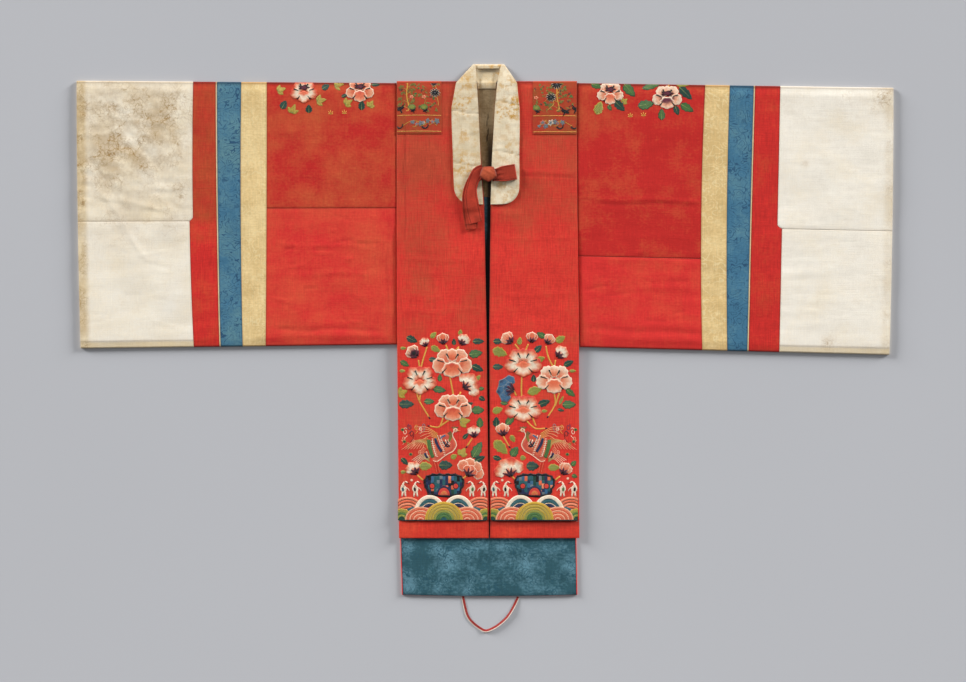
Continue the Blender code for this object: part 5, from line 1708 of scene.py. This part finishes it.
SPRAYS = {
    "right": dict(
        flowers=[(-398, 524, 56, 50, "white"), (-275, 526, 58, 50, "coral")],
        leaves=[(-442, 496, 60, 18, 15, DARK), (-420, 490, 70, 22, 17, LOBED), (-387, 487, 90, 16, 14, DARK),
                (-356, 506, 10, 22, 18, LOBED), (-350, 535, 30, 16, 13, DARK), (-444, 530, 20, 20, 17, LOBED),
                (-317, 540, 10, 22, 14, LOBED), (-271, 495, 90, 19, 14, DARK), (-249, 500, 60, 17, 16, LOBED),
                (-297, 503, 30, 20, 17, LOBED), (-308, 516, 20, 13, 8, DARK), (-240, 540, 0, 16, 8, DARK)],
        sprigs=[(-339, 478), (-309, 479)],
    ),
    "left": dict(
        flowers=[(275, 520, 54, 50, "pink"), (400, 511, 62, 50, "plum")],
        leaves=[(245, 538, -20, 22, 14, GREEN), (317, 528, -50, 33, 20, GREEN), (250, 489, 70, 26, 19, OLIVE),
                (274, 489, -60, 12, 9, GREEN), (296, 493, -45, 26, 17, DARK), (309, 506, 40, 14, 13, LOBED),
                (366, 537, 15, 36, 13, GREEN), (354, 496, 10, 31, 20, GREEN), (388, 475, 90, 22, 15, GREEN),
                (421, 483, -70, 19, 13, DARK), (441, 521, -45, 33, 18, DARK), (444, 489, -30, 28, 17, GREEN),
                (437, 540, 5, 26, 8, OLIVE)],
        sprigs=[(319, 472), (348, 474)],
    ),
}
for side, spray in SPRAYS.items():
    limits = ((-0.9, 0.9), (0.4, lambda x, s=side: folds_at(SLEEVES[s], np.abs(x))[0] - 0.0008))
    work = Stitches((0.0, 0.0), lambda x, y, s=side: sleeve_height(s, x, y), limits)
    for x, y, wide, tall, style in spray["flowers"]:
        stem(work, [(x + 4, 541), (x + 2, y + tall * 0.3)])
    for row in spray["leaves"]:
        leaf(work, *row)
    for x, y, wide, tall, style in spray["flowers"]:
        peony(work, x, y, wide, tall, style)
        work.satin(lobed(x, y + tall * 0.20, wide * 0.40, tall * 0.22, 0, 5, 0.24), "dark", "plum", layer=14, rise=0.6)
    for x, y in spray["sprigs"]:
        for turn in (30, 90, 150, 210, 330):
            way = math.radians(turn)
            work.ridge([(x, y - 3), (x + 6 * math.cos(way), y + 1 + 5 * math.sin(way))], 1.6, "gold", rise=0.4)
    work.finish(f"embroidery_sleeve_{side}", "red_silk")

# %% [markdown]
# The shoulder patches carry finer, older work: dark daisies with white edges on gold stems, ducks on lotus leaves
# and birds in flight, over a narrow border of grey blossoms between couched gold lines.

# %% Patch embroidery
def daisy(work, x, y, size):
    for index in range(10):
        way = 2 * math.pi * index / 10
        at = (x + math.cos(way) * size * 0.30, y + math.sin(way) * size * 0.24)
        turn = math.degrees(way)
        work.satin(lobed(*at, size * 0.46, size * 0.20, turn, count=10), "white", "white", rise=0.3, layer=1)
        work.satin(lobed(*at, size * 0.42, size * 0.15, turn, count=10), "dark", "dark", rise=0.4, layer=5)
    work.satin(lobed(x, y, size * 0.2, size * 0.16, count=10), "grey_blue", "dark", rise=0.4, layer=9)


def bird(work, x, y, size, face):
    size = size * 1.3
    work.satin(lobed(x, y, size, size * 0.40, -20 * face, count=12), "dark", "dark", rise=0.6, layer=4)
    for dx, dy in ((-0.5, 0.5), (-0.2, -0.5), (0.6, 0.25)):
        work.ridge([(x, y), (x + face * dx * size, y + dy * size)], size * 0.24, "dark", rise=0.6, layer=4, taper=0.3)


for side, sign in (("right", -1), ("left", 1)):
    (x_low, y_low, _), (x_high, y_high, _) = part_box(f"shoulder_patch_{side}")
    limits = ((x_low + 0.001, x_high - 0.001), (y_low, lambda x: SHOULDER_Y - 0.001))
    work = Stitches((0.0, 0.0), lambda x, y, s=side: patch_height(s, x, y), limits)
    low, high, base = x_low / MM, x_high / MM, y_low / MM
    draw = np.random.default_rng(7 if sign > 0 else 9)
    for y in (base + 6, base + 41):
        work.ridge([(low + 1, y), ((low + high) / 2, y + 0.6), (high - 1, y)], 1.5, "gold", rise=0.5)
    trunk = low + 24 if sign < 0 else high - 42
    work.ridge([(trunk, 543), (trunk - 2, 515), (trunk + 3, 488), (trunk - 3, 482)], 2.8, "gold", rise=0.4)
    for _ in range(50):
        at = (draw.uniform(low + 5, high - 5), draw.uniform(base + 50, 541))
        turn = draw.uniform(0, 360)
        kind = ("moss", "brown", "green", "moss", "moss")[int(draw.integers(5))]
        work.satin(pointed(*at, draw.uniform(5, 9), draw.uniform(3, 5), turn), kind, kind, rise=0.35)
        bow = (at[0] + 5 * math.cos(turn), at[1] + 5 * math.sin(turn))
        work.ridge([at, bow, (bow[0] + 5, bow[1] - 3)], 0.9, "mustard", "moss", rise=0.3, taper=0.6)
    for index in range(9):
        y = 488 + index * 6.5
        reach = (13 + 5 * draw.uniform(-1, 1)) * (1 if index % 2 else -1)
        twig = [(trunk, y), (trunk + reach * 0.6, y + 5), (trunk + reach, y + 4)]
        work.ridge(twig, 1.2, "mustard", "moss", rise=0.35)
        for turn in (20, 90, 160):
            leaf_at = (trunk + reach + 4 * math.cos(turn), y + 5 + 4 * math.sin(turn))
            work.satin(pointed(*leaf_at, 8, 4.4, turn + index * 30), "moss", "moss", rise=0.35, layer=1)
    daisies = [(-110, 522, 22), (-112, 543, 15)] if sign < 0 else [(145, 512, 22), (157, 540, 24)]
    for x, y, size in daisies:
        work.ridge([(x, y), (x + 6, y - 14), (x - sign * 8, y - 28)], 1.4, "gold", rise=0.35)
        daisy(work, x, y, size)
    pads = [(-161, 491), (-134, 491)] if sign < 0 else [(112, 489)]
    for x, y in pads:
        work.satin(lobed(x, y, 18, 12, 0, 6, 0.06), "green", "olive", rise=0.4, layer=1)
        bird(work, x + 3, y - 8, 9, sign)
        work.ridge([(x, y + 5), (x + 3, y + 14), (x, y + 20)], 1.2, "olive", rise=0.35)
        work.satin(lobed(x, y + 22, 9, 7, 0, 5, 0.2), "blush", "coral", rise=0.4, layer=2)
    for x, y in [(-187, 487)] if sign < 0 else [(176, 481), (200, 486)]:
        bird(work, x, y, 15, sign)
    middle = low + (high - low) * (0.62 if sign < 0 else 0.40)
    for index in range(7):
        x = middle + (index - 3) * 8.5 + 2 * draw.uniform(-1, 1)
        y = base + 23 + 7 * draw.uniform(-1, 1)
        size = draw.uniform(6, 13)
        colour = ("grey_blue", "coral", "grey_blue", "cream")[index % 4]
        work.ridge([(x - 9, y - 6), (x, y - 4), (x + 8, y + 6)], 1.2, "mustard" if index % 2 else "brown", rise=0.3)
        work.satin(lobed(x, y, size, size * 0.8, index * 20, 5, 0.3, 20), colour, "grey_blue", rise=0.35, layer=1)
    for end in (low + 12, high - 10):
        work.ridge([(middle, base + 20), ((middle + end) / 2, base + 30), (end, base + 18)], 1.2, "mustard", rise=0.3)
    for x in (low + 6, low + 62) if sign < 0 else (high - 6, low + 60):
        crescent = [(x + 7 * math.cos(t), base + 20 + 7 * math.sin(t)) for t in np.linspace(-2.8, 0.3, 8)]
        work.ridge(crescent, 4.6, "dark", rise=0.6, layer=4, taper=0.4)
    work.finish(f"embroidery_patch_{side}", "patch_silk")
